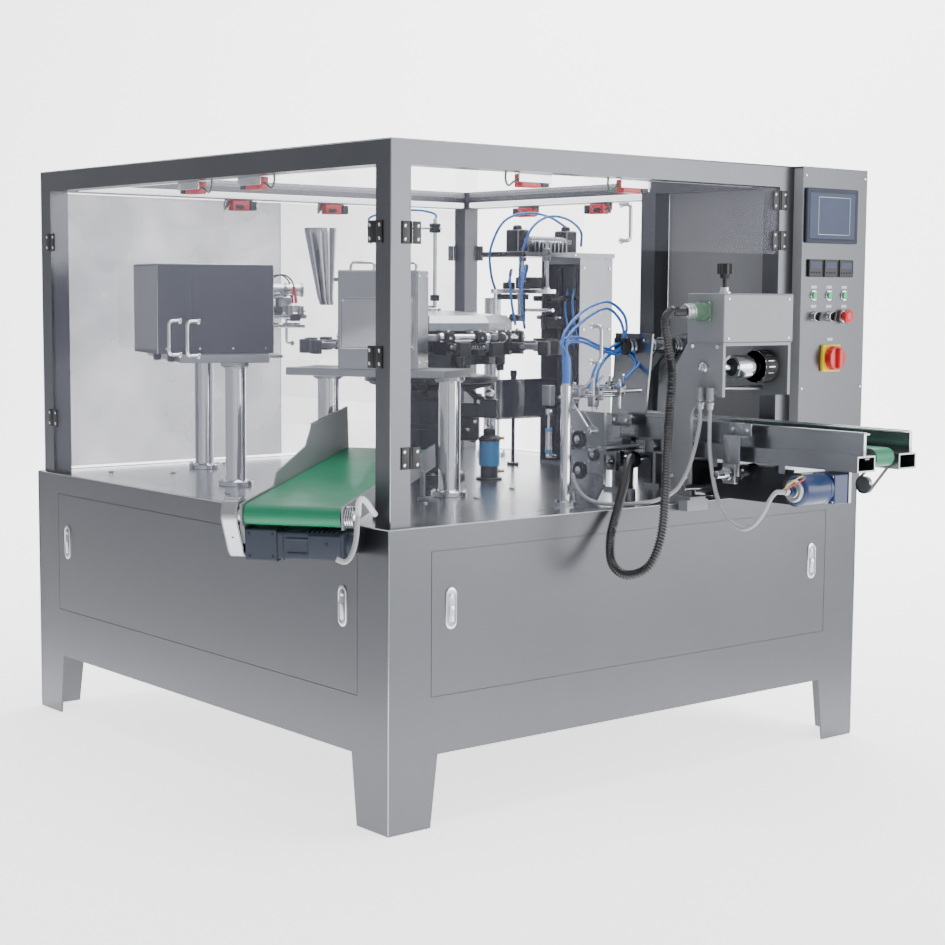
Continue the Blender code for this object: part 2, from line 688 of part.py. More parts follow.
CONTROLS = {
    "left_button": (CONTROL_X[0], BUTTON_Z, BUTTON_R, BUTTON_GREEN),
    "middle_button": (CONTROL_X[1], BUTTON_Z, BUTTON_R, BUTTON_GREEN),
    "right_button": (CONTROL_X[2], BUTTON_Z, BUTTON_R, BUTTON_GREEN),
    "left_selector": (CONTROL_X[0], SELECTOR_Z, BUTTON_R, BLACK),
    "middle_selector": (CONTROL_X[1], SELECTOR_Z, BUTTON_R, BLACK),
    "emergency_stop": (CONTROL_X[2], SELECTOR_Z, BUTTON_R, RED),
    "main_switch": (SWITCH_X, SWITCH_Z, SWITCH_R, RED),
}


def make_controls():
    front = CABINET_Y[0]
    for name, (x, z, radius, finish) in CONTROLS.items():
        joint(name, (x, front, z))
        adds = [rod((x, front - BUTTON_OUT, z), (x, front + BUTTON_IN, z), radius, SIDES)]
        root = front - BUTTON_OUT / 2
        if "selector" in name:
            lever = block(around(x, 0.007), (front - BUTTON_OUT - 0.011, root), around(z, 0.020), 0.001)
            adds.append(lever)
        if name == "main_switch":
            lever = block(around(x, 0.013), (front - BUTTON_OUT - 0.016, root), around(z, 0.040), 0.002)
            adds.append(lever)
        if name == "emergency_stop":
            profile = [
                (BUTTON_R * 0.9, BUTTON_OUT - 0.002), (BUTTON_R * 0.95, 0.011), (MUSHROOM_R * 0.8, 0.012),
                (MUSHROOM_R, 0.017), (MUSHROOM_R * 0.92, 0.023), (MUSHROOM_R * 0.6, 0.027),
            ]
            head = turned((0, 0), profile)
            head.transform(Matrix.Translation((x, front, z)) @ Matrix.Rotation(math.pi / 2, 4, "X"))
            adds.append(head)
        solid(name, adds, finish, body=name)


def make_turret():
    base = DECK_Z + GAP
    head_low = TABLE_Z[0] - GAP - COLUMN_HEAD[1]
    profile = [
        (COLUMN_FLANGE[0], base), (COLUMN_FLANGE[0], base + COLUMN_FLANGE[1]),
        (COLUMN_R, base + COLUMN_FLANGE[1]), (COLUMN_R, head_low - 0.03),
        (COLUMN_HEAD[0], head_low), (COLUMN_HEAD[0], TABLE_Z[0] - GAP),
    ]
    away = math.radians(-47)
    lever = block((SHAFT_R + 0.015, LEVER[0]), around(0, LEVER[1]), LEVER[2:], 0.004)
    end = block(around(CYLINDER_REACH, 0.052), around(0, 0.052), (LEVER[2], LEVER[3] + 0.012), 0.004)
    bore = turned(TURRET, [(clear(SHAFT_R), base - 0.05), (clear(SHAFT_R), TABLE_Z[0] + 0.05)])
    adds = [turned(TURRET, profile)]
    for piece in (lever, end):
        adds.append(placed(piece, (*TURRET, 0), away))
    solid("turret_column", adds, BLACK, [bore])

    joint("turret", (*TURRET, TABLE_Z[0]))
    lid_seat = LID_Z[0] - GAP
    adds = [
        turned(TURRET, [(SHAFT_R, DECK_Z - DECK_THICK - 0.09), (SHAFT_R, TABLE_Z[0] + 0.01)]),
        turned(TURRET, [(TABLE_R, TABLE_Z[0]), (TABLE_R, TABLE_Z[1])], 2 * SIDES),
        turned(TURRET, [(HUB_R, TABLE_Z[1] - 0.005), (HUB_R, lid_seat)]),
        turned(TURRET, [(SPINDLE_R, TABLE_Z[1]), (SPINDLE_R, LID_Z[3] - LID_WALL - GAP)]),
    ]
    half = CROSS_ROD_LENGTH / 2
    tip = ROD_REACH + JAW_SIZE[0]
    arm_z = (TABLE_Z[1] - 0.003, TABLE_Z[1] - 0.003 + ARM_SIZE[1])
    tip_z = around(JAW_Z - 0.004, JAW_SIZE[2])
    for i in range(STATIONS):
        turn = STATION_TURN + 2 * math.pi * i / STATIONS
        shapes = [rod((ROD_REACH, -half, ROD_Z), (ROD_REACH, half, ROD_Z), CROSS_ROD_R)]
        for side in (-ARM_SPREAD, ARM_SPREAD):
            shapes.append(block(ARM_REACH, around(side, ARM_SIZE[0]), arm_z))
            shapes.append(block((ROD_REACH, tip), around(side, JAW_SIZE[1]), around(JAW_Z, 0.018)))
            shapes.append(block((tip - 0.012, tip + 0.014), around(side, 0.034), tip_z))
        for shape in shapes:
            adds.append(placed(shape, (*TURRET, 0), turn))
    solid("turret_table", adds, DARK_STEEL, body="turret")

    corner = STATION_TURN + math.pi / STATIONS
    outer = [(LID_R[0], LID_Z[0]), (LID_R[0], LID_Z[1]), (LID_R[1], LID_Z[2]), (LID_R[2], LID_Z[3])]
    inner = [(LID_R[0] - LID_WALL, LID_Z[0] - 0.05), (LID_R[0] - LID_WALL, LID_Z[1] - LID_WALL),
             (LID_R[1] - LID_WALL, LID_Z[2] - LID_WALL), (LID_R[2], LID_Z[3] - LID_WALL)]
    cap = turned(TURRET, outer, STATIONS, corner)
    hollow = turned(TURRET, inner, STATIONS, corner)
    solid("turret_lid", [cap], STAINLESS, [hollow], body="turret", flat=True)


def make_cylinder():
    base = DECK_Z + GAP
    radius = CYLINDER_R
    profile = [
        (radius * 1.1, base), (radius * 1.1, base + 0.006), (radius * 0.75, base + 0.008),
        (radius * 0.75, CYLINDER_Z[0]), (radius, CYLINDER_Z[0] + 0.001), (radius, CYLINDER_Z[1]),
        (radius * 1.04, CYLINDER_Z[1] + 0.002), (radius * 0.6, CYLINDER_Z[2]),
        (radius * 0.6, CYLINDER_Z[3]), (CYLINDER_ROD_R, CYLINDER_Z[3]), (CYLINDER_ROD_R, LEVER[2] - GAP),
    ]
    solid("air_cylinder", [turned(CYLINDER_AT, profile)], SKY)


def stand(name, posts, plate, top, overhang, shift):
    """Two flanged posts under a plate that runs past them by overhang, and shift to its left."""
    adds = []
    low = top - plate[0]
    for post in posts:
        profile = [(POST_FLANGE[0], DECK_Z + GAP), (POST_FLANGE[0], DECK_Z + GAP + POST_FLANGE[1]),
                   (POST_R, DECK_Z + GAP + POST_FLANGE[1]), (POST_R, low + plate[0] / 2)]
        adds.append(turned(post, profile))
        collar = [(POST_R + 0.012, low - 0.012), (POST_R + 0.012, low + plate[0] / 2)]
        adds.append(turned(post, collar))
    (x0, y0), (x1, y1) = posts
    turn = math.atan2(y1 - y0, x1 - x0)
    length = math.hypot(x1 - x0, y1 - y0)
    deck = block(around(0, length + 2 * overhang), around(shift, plate[1]), (low, top), 0.002)
    adds.append(placed(deck, ((x0 + x1) / 2, (y0 + y1) / 2, 0), turn))
    solid(name, adds, DARK_STEEL)


def make_sealers():
    stand("sealer_stand", SEALER_POSTS, SEALER_PLATE, SEALER_Z - GAP, 0.055, 0.040)
    x, y, z = SEALER_BOX
    outer, inside = cover(around(0, x), around(0, y), (0, z), 0.004)
    at = (*SEALER_AT, SEALER_Z)
    cuts = [placed(shape, at, SEALER_TURN) for shape in inside]
    solid("sealer_cover", [placed(outer, at, SEALER_TURN)], STAINLESS, cuts, flat=True)

    stand("cooler_stand", COOLER_POSTS, COOLER_PLATE, COOLER_Z - GAP, 0.052, COOLER_SHIFT)
    x, y, z = COOLER_BOX
    outer, inside = cover((COOLER_REACH, COOLER_REACH + x), around(0, y), (0, z), 0.004)
    at = (*TURRET, COOLER_Z)
    cuts = [placed(shape, at, COOLER_TURN) for shape in inside]
    solid("cooler_cover", [placed(outer, at, COOLER_TURN)], STAINLESS, cuts, flat=True)


def make_funnel():
    (x, y), post = FUNNEL_AT, FUNNEL_POST
    base = DECK_Z + GAP
    collar_z = FUNNEL_COLLAR_Z
    profile = [(POST_FLANGE[0] * 0.8, base), (POST_FLANGE[0] * 0.8, base + POST_FLANGE[1]),
               (FUNNEL_POST_R, base + POST_FLANGE[1]), (FUNNEL_POST_R, FUNNEL_POST_TOP)]
    solid("funnel_post", [turned(post, profile)], CHROME)

    def cone(shrink, past):
        shift = (0.0, 0.25, 1.0, 1.0)
        radii = (FUNNEL_R[0], FUNNEL_R[0] + 0.003, FUNNEL_R[1], FUNNEL_R[1])
        rings = []
        for z, share, radius, extra in zip(FUNNEL_Z, shift, radii, (-past, 0, 0, past)):
            centre = (x + FUNNEL_SKEW[0] * (1 - share), y + FUNNEL_SKEW[1] * (1 - share), z + extra)
            rings.append(ring(centre, radius - shrink))
        return loft(rings)

    joint("funnel", (*post, collar_z[0]))
    arm_end = (x, y, (collar_z[0] + collar_z[1]) / 2)
    reach = math.hypot(post[0] - x, post[1] - y)
    arm = block((0.018, reach - 0.020), around(0, FUNNEL_ARM[0]), around(0, FUNNEL_ARM[1]))
    turn = math.atan2(post[1] - y, post[0] - x)
    sleeve = turned(post, [(FUNNEL_SLEEVE_R, collar_z[0]), (FUNNEL_SLEEVE_R, collar_z[1])])
    adds = [cone(0.0, 0.0), placed(arm, arm_end, turn), sleeve]
    hole_r = clear(FUNNEL_POST_R)
    hole = turned(post, [(hole_r, collar_z[0] - 0.05), (hole_r, collar_z[1] + 0.05)])
    cuts = [cone(FUNNEL_WALL, 0.01), hole]
    solid("funnel", adds, STAINLESS, cuts, body="funnel")


def make_tower():
    base = DECK_Z + GAP
    top = TOWER_Z + BRIDGE_THICK
    wall = TOWER_WALL
    middle_y = sum(TOWER_Y) / 2
    adds = [
        block(TOWER_X, TOWER_Y, (base, TOWER_Z + 0.001)),
        block((BRIDGE_X, TOWER_X[1]), (TOWER_Y[0] - 0.01, TOWER_Y[1] + 0.01), (TOWER_Z, top)),
    ]
    for x in (BRIDGE_X + 0.060, TOWER_X[0] + 0.020):
        adds.append(block(around(x, 0.046), around(middle_y, 0.060), (top - 0.002, top + 0.072), 0.002))
    for side in (-0.018, 0.018):
        start = (BRIDGE_X + 0.062, middle_y + side, top + 0.036)
        end = (TOWER_X[0] + 0.018, middle_y + side, top + 0.036)
        adds.append(rod(start, end, 0.015))
    for x, y in ROD_AT:
        bush_r = ROD_R + 0.007
        adds.append(turned((x, y), [(bush_r, TOWER_Z - 0.012), (bush_r, top + 0.010)], FEW_SIDES))
    inner_x = (TOWER_X[0] - 0.05, TOWER_X[1] - wall)
    inner_y = (TOWER_Y[0] + wall, TOWER_Y[1] - wall)
    cuts = [block(inner_x, inner_y, (base + 0.010, TOWER_Z - 0.020))]
    for x, y in ROD_AT:
        hole_r = clear(ROD_R, FEW_SIDES)
        cuts.append(turned((x, y), [(hole_r, TOWER_Z - 0.05), (hole_r, top + 0.05)], FEW_SIDES))
    solid("opening_tower", adds, DARK_STEEL, cuts)

    joint("opening_head", (ROD_AT[0][0], middle_y, HEAD_Z[0]))
    adds = [block(HEAD_X, (ROD_AT[0][1] - 0.018, ROD_AT[1][1] + 0.018), HEAD_Z, 0.001)]
    for x, y in ROD_AT:
        adds.append(turned((x, y), [(ROD_R, HEAD_Z[0] + 0.002), (ROD_R, top + 0.040)], FEW_SIDES))
    cup_z = HEAD_Z[0] - 0.078
    for y in (ROD_AT[0][1], ROD_AT[1][1]):
        drop = (HEAD_Z[0] - 0.088, HEAD_Z[0] + 0.004)
        adds.append(block((HEAD_X[0] + 0.004, HEAD_X[0] + 0.022), around(y, 0.018), drop))
        adds.append(rod((HEAD_X[0] - 0.012, y, cup_z), (HEAD_X[0] + 0.010, y, cup_z), 0.012))
    solid("opening_head", adds, CHROME, body="opening_head")


def make_posts():
    base = DECK_Z + GAP
    x, y, radius, top = HOSE_POST
    profile = [
        (0.032, base), (0.032, base + 0.010), (radius, base + 0.010),
        (radius, top - 0.012), (radius * 0.7, top),
    ]
    solid("hose_post", [turned((x, y), profile)], CHROME)
    x, y, radius, top = SCREEN_POST
    low_x, high_x, front, back, low_z, high_z = SCREEN
    past = 0.05
    profile = [
        (0.020, base), (0.020, base + 0.008), (radius, base + 0.008),
        (radius, top - 0.016), (radius * 1.6, top - 0.015), (radius * 1.6, top),
    ]
    sheet = block((low_x, high_x), (front, y - radius * 0.4), (low_z, high_z))
    behind = (back, y + past)
    height = (low_z - past, high_z + past)
    cuts = [
        block((x + radius * 1.9, high_x + past), behind, height),
        block((low_x - past, x - radius * 1.9), behind, height),
    ]
    solid("screen_post", [turned((x, y), profile, FEW_SIDES), sheet], DARK_STEEL, cuts)


def belt_loop(radius, front, back, height):
    """A belt's side view: two half turns of one radius, joined by level runs."""
    steps = [math.pi * i / 12 for i in range(13)]
    near = [(front - radius * math.sin(a), height + radius * math.cos(a)) for a in steps]
    far = [(back + radius * math.sin(a), height - radius * math.cos(a)) for a in steps]
    return near + far


def make_magazine():
    adds = []
    cuts = []
    for side, face in ((1, RAIL_X[0]), (-1, RAIL_X[1])):
        web = sorted((face, face + side * RAIL_WALL))
        lip = sorted((face, face + side * RAIL_LIP))
        adds.append(block(web, RAIL_Y, (CHANNEL_Z[1] - 0.004, RAIL_Z[1])))
        adds.append(block(lip, RAIL_Y, (RAIL_Z[1] - RAIL_LIP_THICK, RAIL_Z[1])))
        guide = [(GUIDE_FOOT_Y[0], RAIL_Z[0] + 0.01), (GUIDE_FOOT_Y[1], RAIL_Z[0] + 0.01),
                 (GUIDE_TOP[0] + 0.150, GUIDE_TOP[1]), (GUIDE_TOP[0], GUIDE_TOP[1])]
        adds.append(prism(guide, "X", *sorted((face + side * 0.001, face + side * (0.001 + GUIDE_WALL)))))
    for side, face in ((1, CHANNEL_X[0]), (-1, CHANNEL_X[1])):
        across = sorted((face, face + side * CHANNEL_W))
        adds.append(block(across, CHANNEL_Y, CHANNEL_Z))
        inside = sorted((face + side * CHANNEL_WALL, face + side * (CHANNEL_W - CHANNEL_WALL)))
        inside_z = (CHANNEL_Z[0] + CHANNEL_WALL, CHANNEL_Z[1] - CHANNEL_WALL)
        cuts.append(block(inside, (CHANNEL_Y[0] - 0.05, CHANNEL_Y[1] + 0.05), inside_z))
    low = CHANNEL_Z[0] - CROSS_SIZE
    for y in CROSS_Y:
        across = (CHANNEL_X[0] + 0.010, CHANNEL_X[1] - 0.010)
        adds.append(block(across, around(y, CROSS_SIZE), (low, CHANNEL_Z[0] + 0.001)))
    base = DECK_Z + GAP
    for x in (CHANNEL_X[0] + 0.035, CHANNEL_X[1] - 0.035):
        adds.append(block(around(x, 0.040), around(CROSS_Y[2], 0.012), (base, low + 0.005)))
        adds.append(block(around(x, 0.060), around(CROSS_Y[2], 0.060), (base, base + 0.012)))
    adds.append(block(FOOT_PLATE_X, FOOT_PLATE_Y, (base, CHANNEL_Z[1] - 0.006)))
    toe = (FOOT_PLATE_Y[0], FOOT_PLATE_Y[1] + 0.060)
    adds.append(block((FOOT_PLATE_X[0] + 0.004, FOOT_PLATE_X[1]), toe, (base, base + 0.014)))
    x0, x1, y0, y1, top = ADJUST_PLATE
    lower = [
        (y0 + 0.035, base), (y1, base), (y1, top - 0.030),
        (y1 - 0.030, top), (y0, top), (y0, base + 0.050),
    ]
    adds.append(prism(lower, "X", x0, x1))
    for y, z in ADJUST_SHAFTS:
        adds.append(rod((x0 - 0.030, y, z), (CHANNEL_X[0] + 0.006, y, z), ADJUST_SHAFT_R))
        clamp = (CHANNEL_X[0] - 0.052, CHANNEL_X[0] - 0.014)
        adds.append(block(clamp, around(y, 0.034), around(z, 0.036), 0.002))
    y, z = MOTOR_AT
    plate_x = (GEARBOX_X + GAP, GEARBOX_X + GAP + MOTOR_BRACKET)
    plate_z = (z - GEARBOX_SIZE[1] / 2, CHANNEL_Z[0] + 0.003)
    adds.append(block(plate_x, around(y, GEARBOX_SIZE[0] + 0.004), plate_z))
    y, z = PULLEY_AT
    for x in (PULLEY_X[0] - 0.0145, PULLEY_X[1] + 0.0125):
        cuts.append(rod((x - 0.02, y, z), (x + 0.02, y, z), clear(PULLEY_SHAFT_R, FEW_SIDES)))
    y, z = ARM_SHAFT_AT
    cuts.append(rod((RAIL_X[0] - 0.02, y, z), (RAIL_X[1] + 0.02, y, z), clear(ARM_JOURNAL_R, FEW_SIDES)))
    nose = (BELT_BACK_Y - PULLEY_R + BELT_WALL, PULLEY_AT[1])
    adds.append(rod((CHANNEL_X[0] + 0.050, *nose), (CHANNEL_X[1] - 0.050, *nose), 0.009))
    solid("magazine_frame", adds, STAINLESS, cuts)

    y, z = PULLEY_AT
    joint("belt_pulley", (sum(PULLEY_X) / 2, y, z))
    reach = CHANNEL_W - 0.012
    adds = [
        rod((PULLEY_X[0], y, z), (PULLEY_X[1], y, z), PULLEY_R - BELT_WALL - GAP, SIDES),
        rod((CHANNEL_X[0] + reach, y, z), (CHANNEL_X[1] - reach, y, z), PULLEY_SHAFT_R),
    ]
    solid("belt_pulley", adds, CHROME, body="belt_pulley")

    back_y = BELT_BACK_Y - PULLEY_R
    outer = prism(belt_loop(PULLEY_R, y, back_y, z), "X", *PULLEY_X)
    inner = prism(belt_loop(PULLEY_R - BELT_WALL, y, back_y, z), "X", PULLEY_X[0] - 0.02, PULLEY_X[1] + 0.02)
    solid("magazine_belt", [outer], GREEN_BELT, [inner])


def make_gantry():
    left = (GANTRY_X[0], GANTRY_X[0] + GANTRY_WALL)
    right = (GANTRY_X[1] - GANTRY_WALL, GANTRY_X[1])
    top = GANTRY_Z[1]
    front, back = GANTRY_Y
    base = DECK_Z + GAP
    steps = [math.radians(90 * i / 5) for i in range(6)]
    arch_r = 0.040
    arch_y = GANTRY_FOOT_Y[0] - arch_r
    arch = [(arch_y + arch_r * math.cos(a), GANTRY_ARCH_Z + arch_r * math.sin(a)) for a in steps]
    left_plate = [
        (GANTRY_FOOT_Y[0], base), *arch, (front + 0.030, GANTRY_Z[0]),
        (front, GANTRY_Z[0]), (front, top), (back, top), (GANTRY_FOOT_Y[1] - 0.030, top - 0.062),
        (GANTRY_FOOT_Y[1], GANTRY_Z[0] - 0.05), (GANTRY_FOOT_Y[1], base),
    ]
    right_plate = [(front, GANTRY_Z[0]), (back, GANTRY_Z[0] - 0.010), (back, top), (front, top)]
    adds = [
        prism(left_plate, "X", *left),
        prism(right_plate, "X", *right),
        block((left[0], right[1]), (front, back), (top - 0.008, top)),
        block((left[0] - 0.020, left[1] + 0.030), (FOOT_BLOCK[2], GANTRY_FOOT_Y[1]), (base, base + 0.018)),
        block((FOOT_BLOCK[0], FOOT_BLOCK[1]), (FOOT_BLOCK[2], -GAP), (FOOT_BLOCK[3], base + 0.010)),
    ]
    low, lug_r = HOSE_START_Z, THIN_HOSE_R + 0.005
    profile = [(THIN_HOSE_R + 0.002, low), (lug_r, low + 0.008), (lug_r, low + 0.040)]
    for y in HOSE_START_Y:
        adds.append(turned((HOSE_START_X, y), profile, FEW_SIDES))
        adds.append(block((HOSE_START_X, left[0] + 0.002), around(y, 0.016), (low + 0.020, low + 0.038)))
    y, z = ROLLER_AT
    cuts = [rod((left[0] - 0.02, y, z), (right[1] + 0.02, y, z), clear(ROLLER_SHAFT_R, FEW_SIDES))]
    solid("feed_gantry", adds, STAINLESS, cuts, flat=True)

    low = top + GAP
    out = COVER_OUT
    box_x = (left[0] - out, right[1] + out)
    box_y = (front - out, back)
    outer, cuts = cover(box_x, box_y, (low, COVER_Z), 0.003)
    adds = [outer]
    profile = [(CONNECTOR_R * 1.15, -0.001), (CONNECTOR_R * 1.15, 0.006), (CONNECTOR_R * 0.9, 0.008),
               (CONNECTOR_R * 0.9, 0.026), (CONNECTOR_R, 0.028), (CONNECTOR_R, 0.054),
               (CONNECTOR_R * 0.8, 0.058), (CONNECTOR_R * 0.72, CONNECTOR_LENGTH)]
    plug = turned((0, 0), profile)
    plug.transform(Matrix.Translation((box_x[0], *CONNECTOR_AT)) @ Matrix.Rotation(-math.pi / 2, 4, "Y"))
    adds.append(plug)
    hole_r = clear(KNOB_STEM_R, FEW_SIDES)
    knob_cut = turned(KNOB_AT, [(hole_r, COVER_Z - 0.02), (hole_r, COVER_Z + 0.02)], FEW_SIDES)
    solid("feed_cover", adds, STAINLESS, cuts + [knob_cut], flat=True)

    joint("height_knob", (*KNOB_AT, COVER_Z))
    count = KNOB_LOBES * 6
    lobes = []
    for i in range(count):
        a = 2 * math.pi * i / count
        reach = KNOB_R * (0.86 + 0.14 * math.cos(KNOB_LOBES * a))
        lobes.append((KNOB_AT[0] + reach * math.cos(a), KNOB_AT[1] + reach * math.sin(a)))
    stem = [(KNOB_STEM_R, top + 0.004), (KNOB_STEM_R, KNOB_Z[0] + 0.004)]
    neck = [(KNOB_R * 0.55, KNOB_Z[0] - 0.012), (KNOB_R * 0.7, KNOB_Z[0] + 0.003)]
    adds = [prism(lobes, "Z", *KNOB_Z), turned(KNOB_AT, stem, FEW_SIDES), turned(KNOB_AT, neck, FEW_SIDES)]
    solid("height_knob", adds, BLACK, body="height_knob")

    y, z = ROLLER_AT
    joint("feed_roller", (sum(GANTRY_X) / 2, y, z))
    adds = [rod((left[0] - 0.004, y, z), (right[1] + 0.004, y, z), ROLLER_SHAFT_R)]
    for x0, x1, radius in (ROLLER_DRUM, ROLLER_WHEEL):
        adds.append(rod((x0, y, z), (x1, y, z), radius, SIDES))
    solid("feed_roller", adds, CHROME, body="feed_roller")

    y, z = MOTOR_AT
    adds = [rod((MOTOR_X[0] + 0.004, y, z), (MOTOR_X[1] + 0.002, y, z), MOTOR_R * 0.94, SIDES),
            block((MOTOR_X[1], GEARBOX_X), around(y, GEARBOX_SIZE[0]), around(z, GEARBOX_SIZE[1]), 0.003),
            rod((MOTOR_X[0] - 0.006, y, z), (MOTOR_X[0] + 0.010, y, z), MOTOR_R * 0.70, SIDES)]
    count, pitch, thick = MOTOR_FINS
    for i in range(count):
        x = MOTOR_X[0] + 0.014 + i * pitch
        adds.append(rod((x, y, z), (x + thick, y, z), MOTOR_R, SIDES))
    gland = rod((MOTOR_X[0] - 0.0227, y, z), (MOTOR_X[0], y, z), THIN_HOSE_R + 0.004)
    solid("feed_motor", adds + [gland], NAVY)

    y, z = ARM_SHAFT_AT
    joint("suction_arm", (sum(RAIL_X) / 2, y, z))
    inside = (RAIL_X[0] + GUIDE_WALL + 0.0013, RAIL_X[1] - GUIDE_WALL - 0.0013)
    adds = [rod((inside[0], y, z), (inside[1], y, z), ARM_SHAFT_R, SIDES),
            rod((RAIL_X[0] - 0.010, y, z), (RAIL_X[1] + 0.010, y, z), ARM_JOURNAL_R)]
    dy, dz = ARM_BLADE
    for x in (inside[0] + 0.035, inside[1] - 0.035):
        adds.append(block(around(x, 0.034), around(y, 0.048), around(z, 0.048), 0.003))
        edge = 0.008
        blade = [
            (y - edge, z - edge), (y + edge, z + edge),
            (y + dy + edge, z + dz + edge), (y + dy - edge, z + dz - edge),
        ]
        adds.append(prism(blade, "X", *around(x, 0.012)))
        bell = [(CUP_R * 0.4, -0.012), (CUP_R * 0.45, 0.008), (CUP_R * 0.7, 0.012), (CUP_R, 0.024)]
        cup = turned((0, 0), bell, FEW_SIDES)
        place = Matrix.Translation((x, y + dy, z + dz))
        cup.transform(place @ Matrix.Rotation(math.radians(-120), 4, "X"))
        adds.append(cup)
    solid("suction_arm", adds, BLACK, body="suction_arm")


def make_discharge():
    at = (*EXIT_AT, EXIT_Z)
    half = EXIT_BELT_W / 2
    roller = EXIT_ROLLER_R + BELT_WALL
    length = EXIT_LENGTH
    y_in = half + EXIT_SIDE_GAP
    y_out = y_in + EXIT_SIDE
    low = -2 * roller - 0.002

    def carried(shape):
        return placed(shape, at, EXIT_TURN, EXIT_SLOPE)

    start, step, first, second = EXIT_GUARD
    left = [(-roller, low), (length + 0.020, low), (length + 0.020, second), (step + 0.060, second),
            (step, first + 0.008), (start, first - 0.020), (start - 0.030, 0.004), (-roller, 0.004)]
    r_start, r_end, r_high = EXIT_RIGHT_GUARD
    right = [
        (-roller, low), (length + 0.020, low), (length + 0.020, 0.012), (r_end, 0.012),
        (r_end, r_high), (r_start, r_high), (r_start, 0.004), (-roller, 0.004),
    ]
    bed = EXIT_ROLLER_R - 0.004
    drum_r = EXIT_ROLLER_R - GAP
    motor_x, motor_z = EXIT_MOTOR
    cover_y = (y_out + 0.004, y_out + 0.004 + EXIT_COVER[1])
    into = y_in + 0.001
    adds = [
        carried(prism(left, "Y", y_in, y_out)),
        carried(prism(right, "Y", -y_out, -y_in)),
        carried(block((0.060, length - 0.040), (-into, into), (-roller - bed, -roller + bed))),
        carried(rod((length, -into, -roller), (length, into, -roller), drum_r, SIDES)),
    ]
    base = DECK_Z + GAP
    flat = math.cos(EXIT_SLOPE)
    for along in EXIT_LEG_AT:
        top = EXIT_Z + math.sin(EXIT_SLOPE) * along + low * flat + 0.014
        for side in (-1, 1):
            leg = block(around(along * flat, EXIT_LEG), around(side * (y_out + 0.0035), 0.011), (base, top))
            foot_y = around(side * (y_out + 0.012), 0.034)
            foot = block(around(along * flat, 0.046), foot_y, (base, base + 0.007))
            adds.append(placed(leg, (*EXIT_AT, 0), EXIT_TURN))
            adds.append(placed(foot, (*EXIT_AT, 0), EXIT_TURN))
    steps = [math.pi * i / 8 for i in range(9)]
    big = EXIT_COVER[0]
    lean = math.atan2(motor_x, -(motor_z + roller))
    top_arc = [(big * math.cos(a + lean), -roller + big * math.sin(a + lean)) for a in steps]
    low_arc = [(motor_x - big * math.cos(a + lean), motor_z - big * math.sin(a + lean)) for a in steps]
    adds.append(carried(prism(top_arc + low_arc, "Y", *cover_y)))
    plate = [(-0.018, 0.0), (0.060, 0.0), (0.075, motor_z), (motor_x - 0.030, motor_z)]
    adds.append(carried(prism(plate, "Y", y_out - 0.002, cover_y[0] + 0.002)))
    hole_r = clear(EXIT_SHAFT_R, FEW_SIDES)
    cuts = [carried(rod((0, -y_out - 0.02, -roller), (0, cover_y[0] + 0.016, -roller), hole_r))]
    cuts.append(carried(rod((motor_x, y_in - 0.05, motor_z), (motor_x, cover_y[0] + 0.012, motor_z), 0.008)))
    solid("discharge_frame", adds, STAINLESS, cuts)

    belt = carried(prism(belt_loop(roller, 0, length, -roller), "Y", -half, half))
    hollow = carried(prism(belt_loop(EXIT_ROLLER_R, 0, length, -roller), "Y", -half - 0.02, half + 0.02))
    solid("discharge_belt", [belt], GREEN_BELT, [hollow])

    axis = Matrix.Translation(at) @ Matrix.Rotation(EXIT_TURN, 4, "Z") @ Matrix.Rotation(-EXIT_SLOPE, 4, "Y")
    joint("discharge_roller", axis @ Vector((0, 0, -roller)))
    adds = [
        carried(rod((0, -half + 0.002, -roller), (0, half - 0.002, -roller), drum_r, SIDES)),
        carried(rod((0, -y_out - 0.006, -roller), (0, cover_y[0] + 0.012, -roller), EXIT_SHAFT_R)),
    ]
    solid("discharge_roller", adds, CHROME, body="discharge_roller")

    box, box_h = EXIT_GEARBOX
    wide, deep, high = EXIT_MOTOR_BOX
    end = y_out - 0.002 - GAP
    adds = [
        carried(block(around(motor_x, box), (end - box, end), around(motor_z, box_h), 0.004)),
        carried(block(around(motor_x + 0.006, wide), (end - deep, end - box + 0.006),
                      around(motor_z, high), 0.006)),
        carried(rod((motor_x, end - 0.004, motor_z), (motor_x, cover_y[0] + 0.008, motor_z), 0.0075)),
    ]
    solid("discharge_motor", adds, SLATE)


def make_drive():
    x, y, z = DRIVE_BOX
    top = DECK_Z - DECK_THICK - GAP
    low = top - z
    cx, cy = TURRET
    adds = [block(around(cx, x), around(cy, y), (low, top), 0.006)]
    axle = low + z / 2
    face = cx + x / 2
    motor_start = face + DRIVE_NECK[1] - 0.010
    motor_end = motor_start + DRIVE_MOTOR_LENGTH
    adds.append(rod((face - 0.010, cy, axle), (face + DRIVE_NECK[1], cy, axle), DRIVE_NECK[0], SIDES))
    adds.append(rod((motor_start, cy, axle), (motor_end, cy, axle), DRIVE_MOTOR_R, SIDES))
    cuts = [turned(TURRET, [(clear(SHAFT_R), top - 0.100), (clear(SHAFT_R), top + 0.05)])]
    solid("main_drive", adds, NAVY, cuts)


def centre_machine(free_cords):
    """Moves the machine so that the box round it, free hoses apart, stands centred on the origin."""
    bpy.context.view_layer.update()
    graph = bpy.context.evaluated_depsgraph_get()
    low, high = Vector((1e9,) * 3), Vector((-1e9,) * 3)
    for obj in bpy.context.scene.objects:
        if obj.type != "MESH" or obj.name in free_cords:
            continue
        held = obj.evaluated_get(graph)
        for vert in held.data.vertices:
            place = held.matrix_world @ vert.co
            low = Vector(map(min, low, place))
            high = Vector(map(max, high, place))
    MACHINE.location = (-(low.x + high.x) / 2, -(low.y + high.y) / 2, 0)
    bpy.context.view_layer.update()


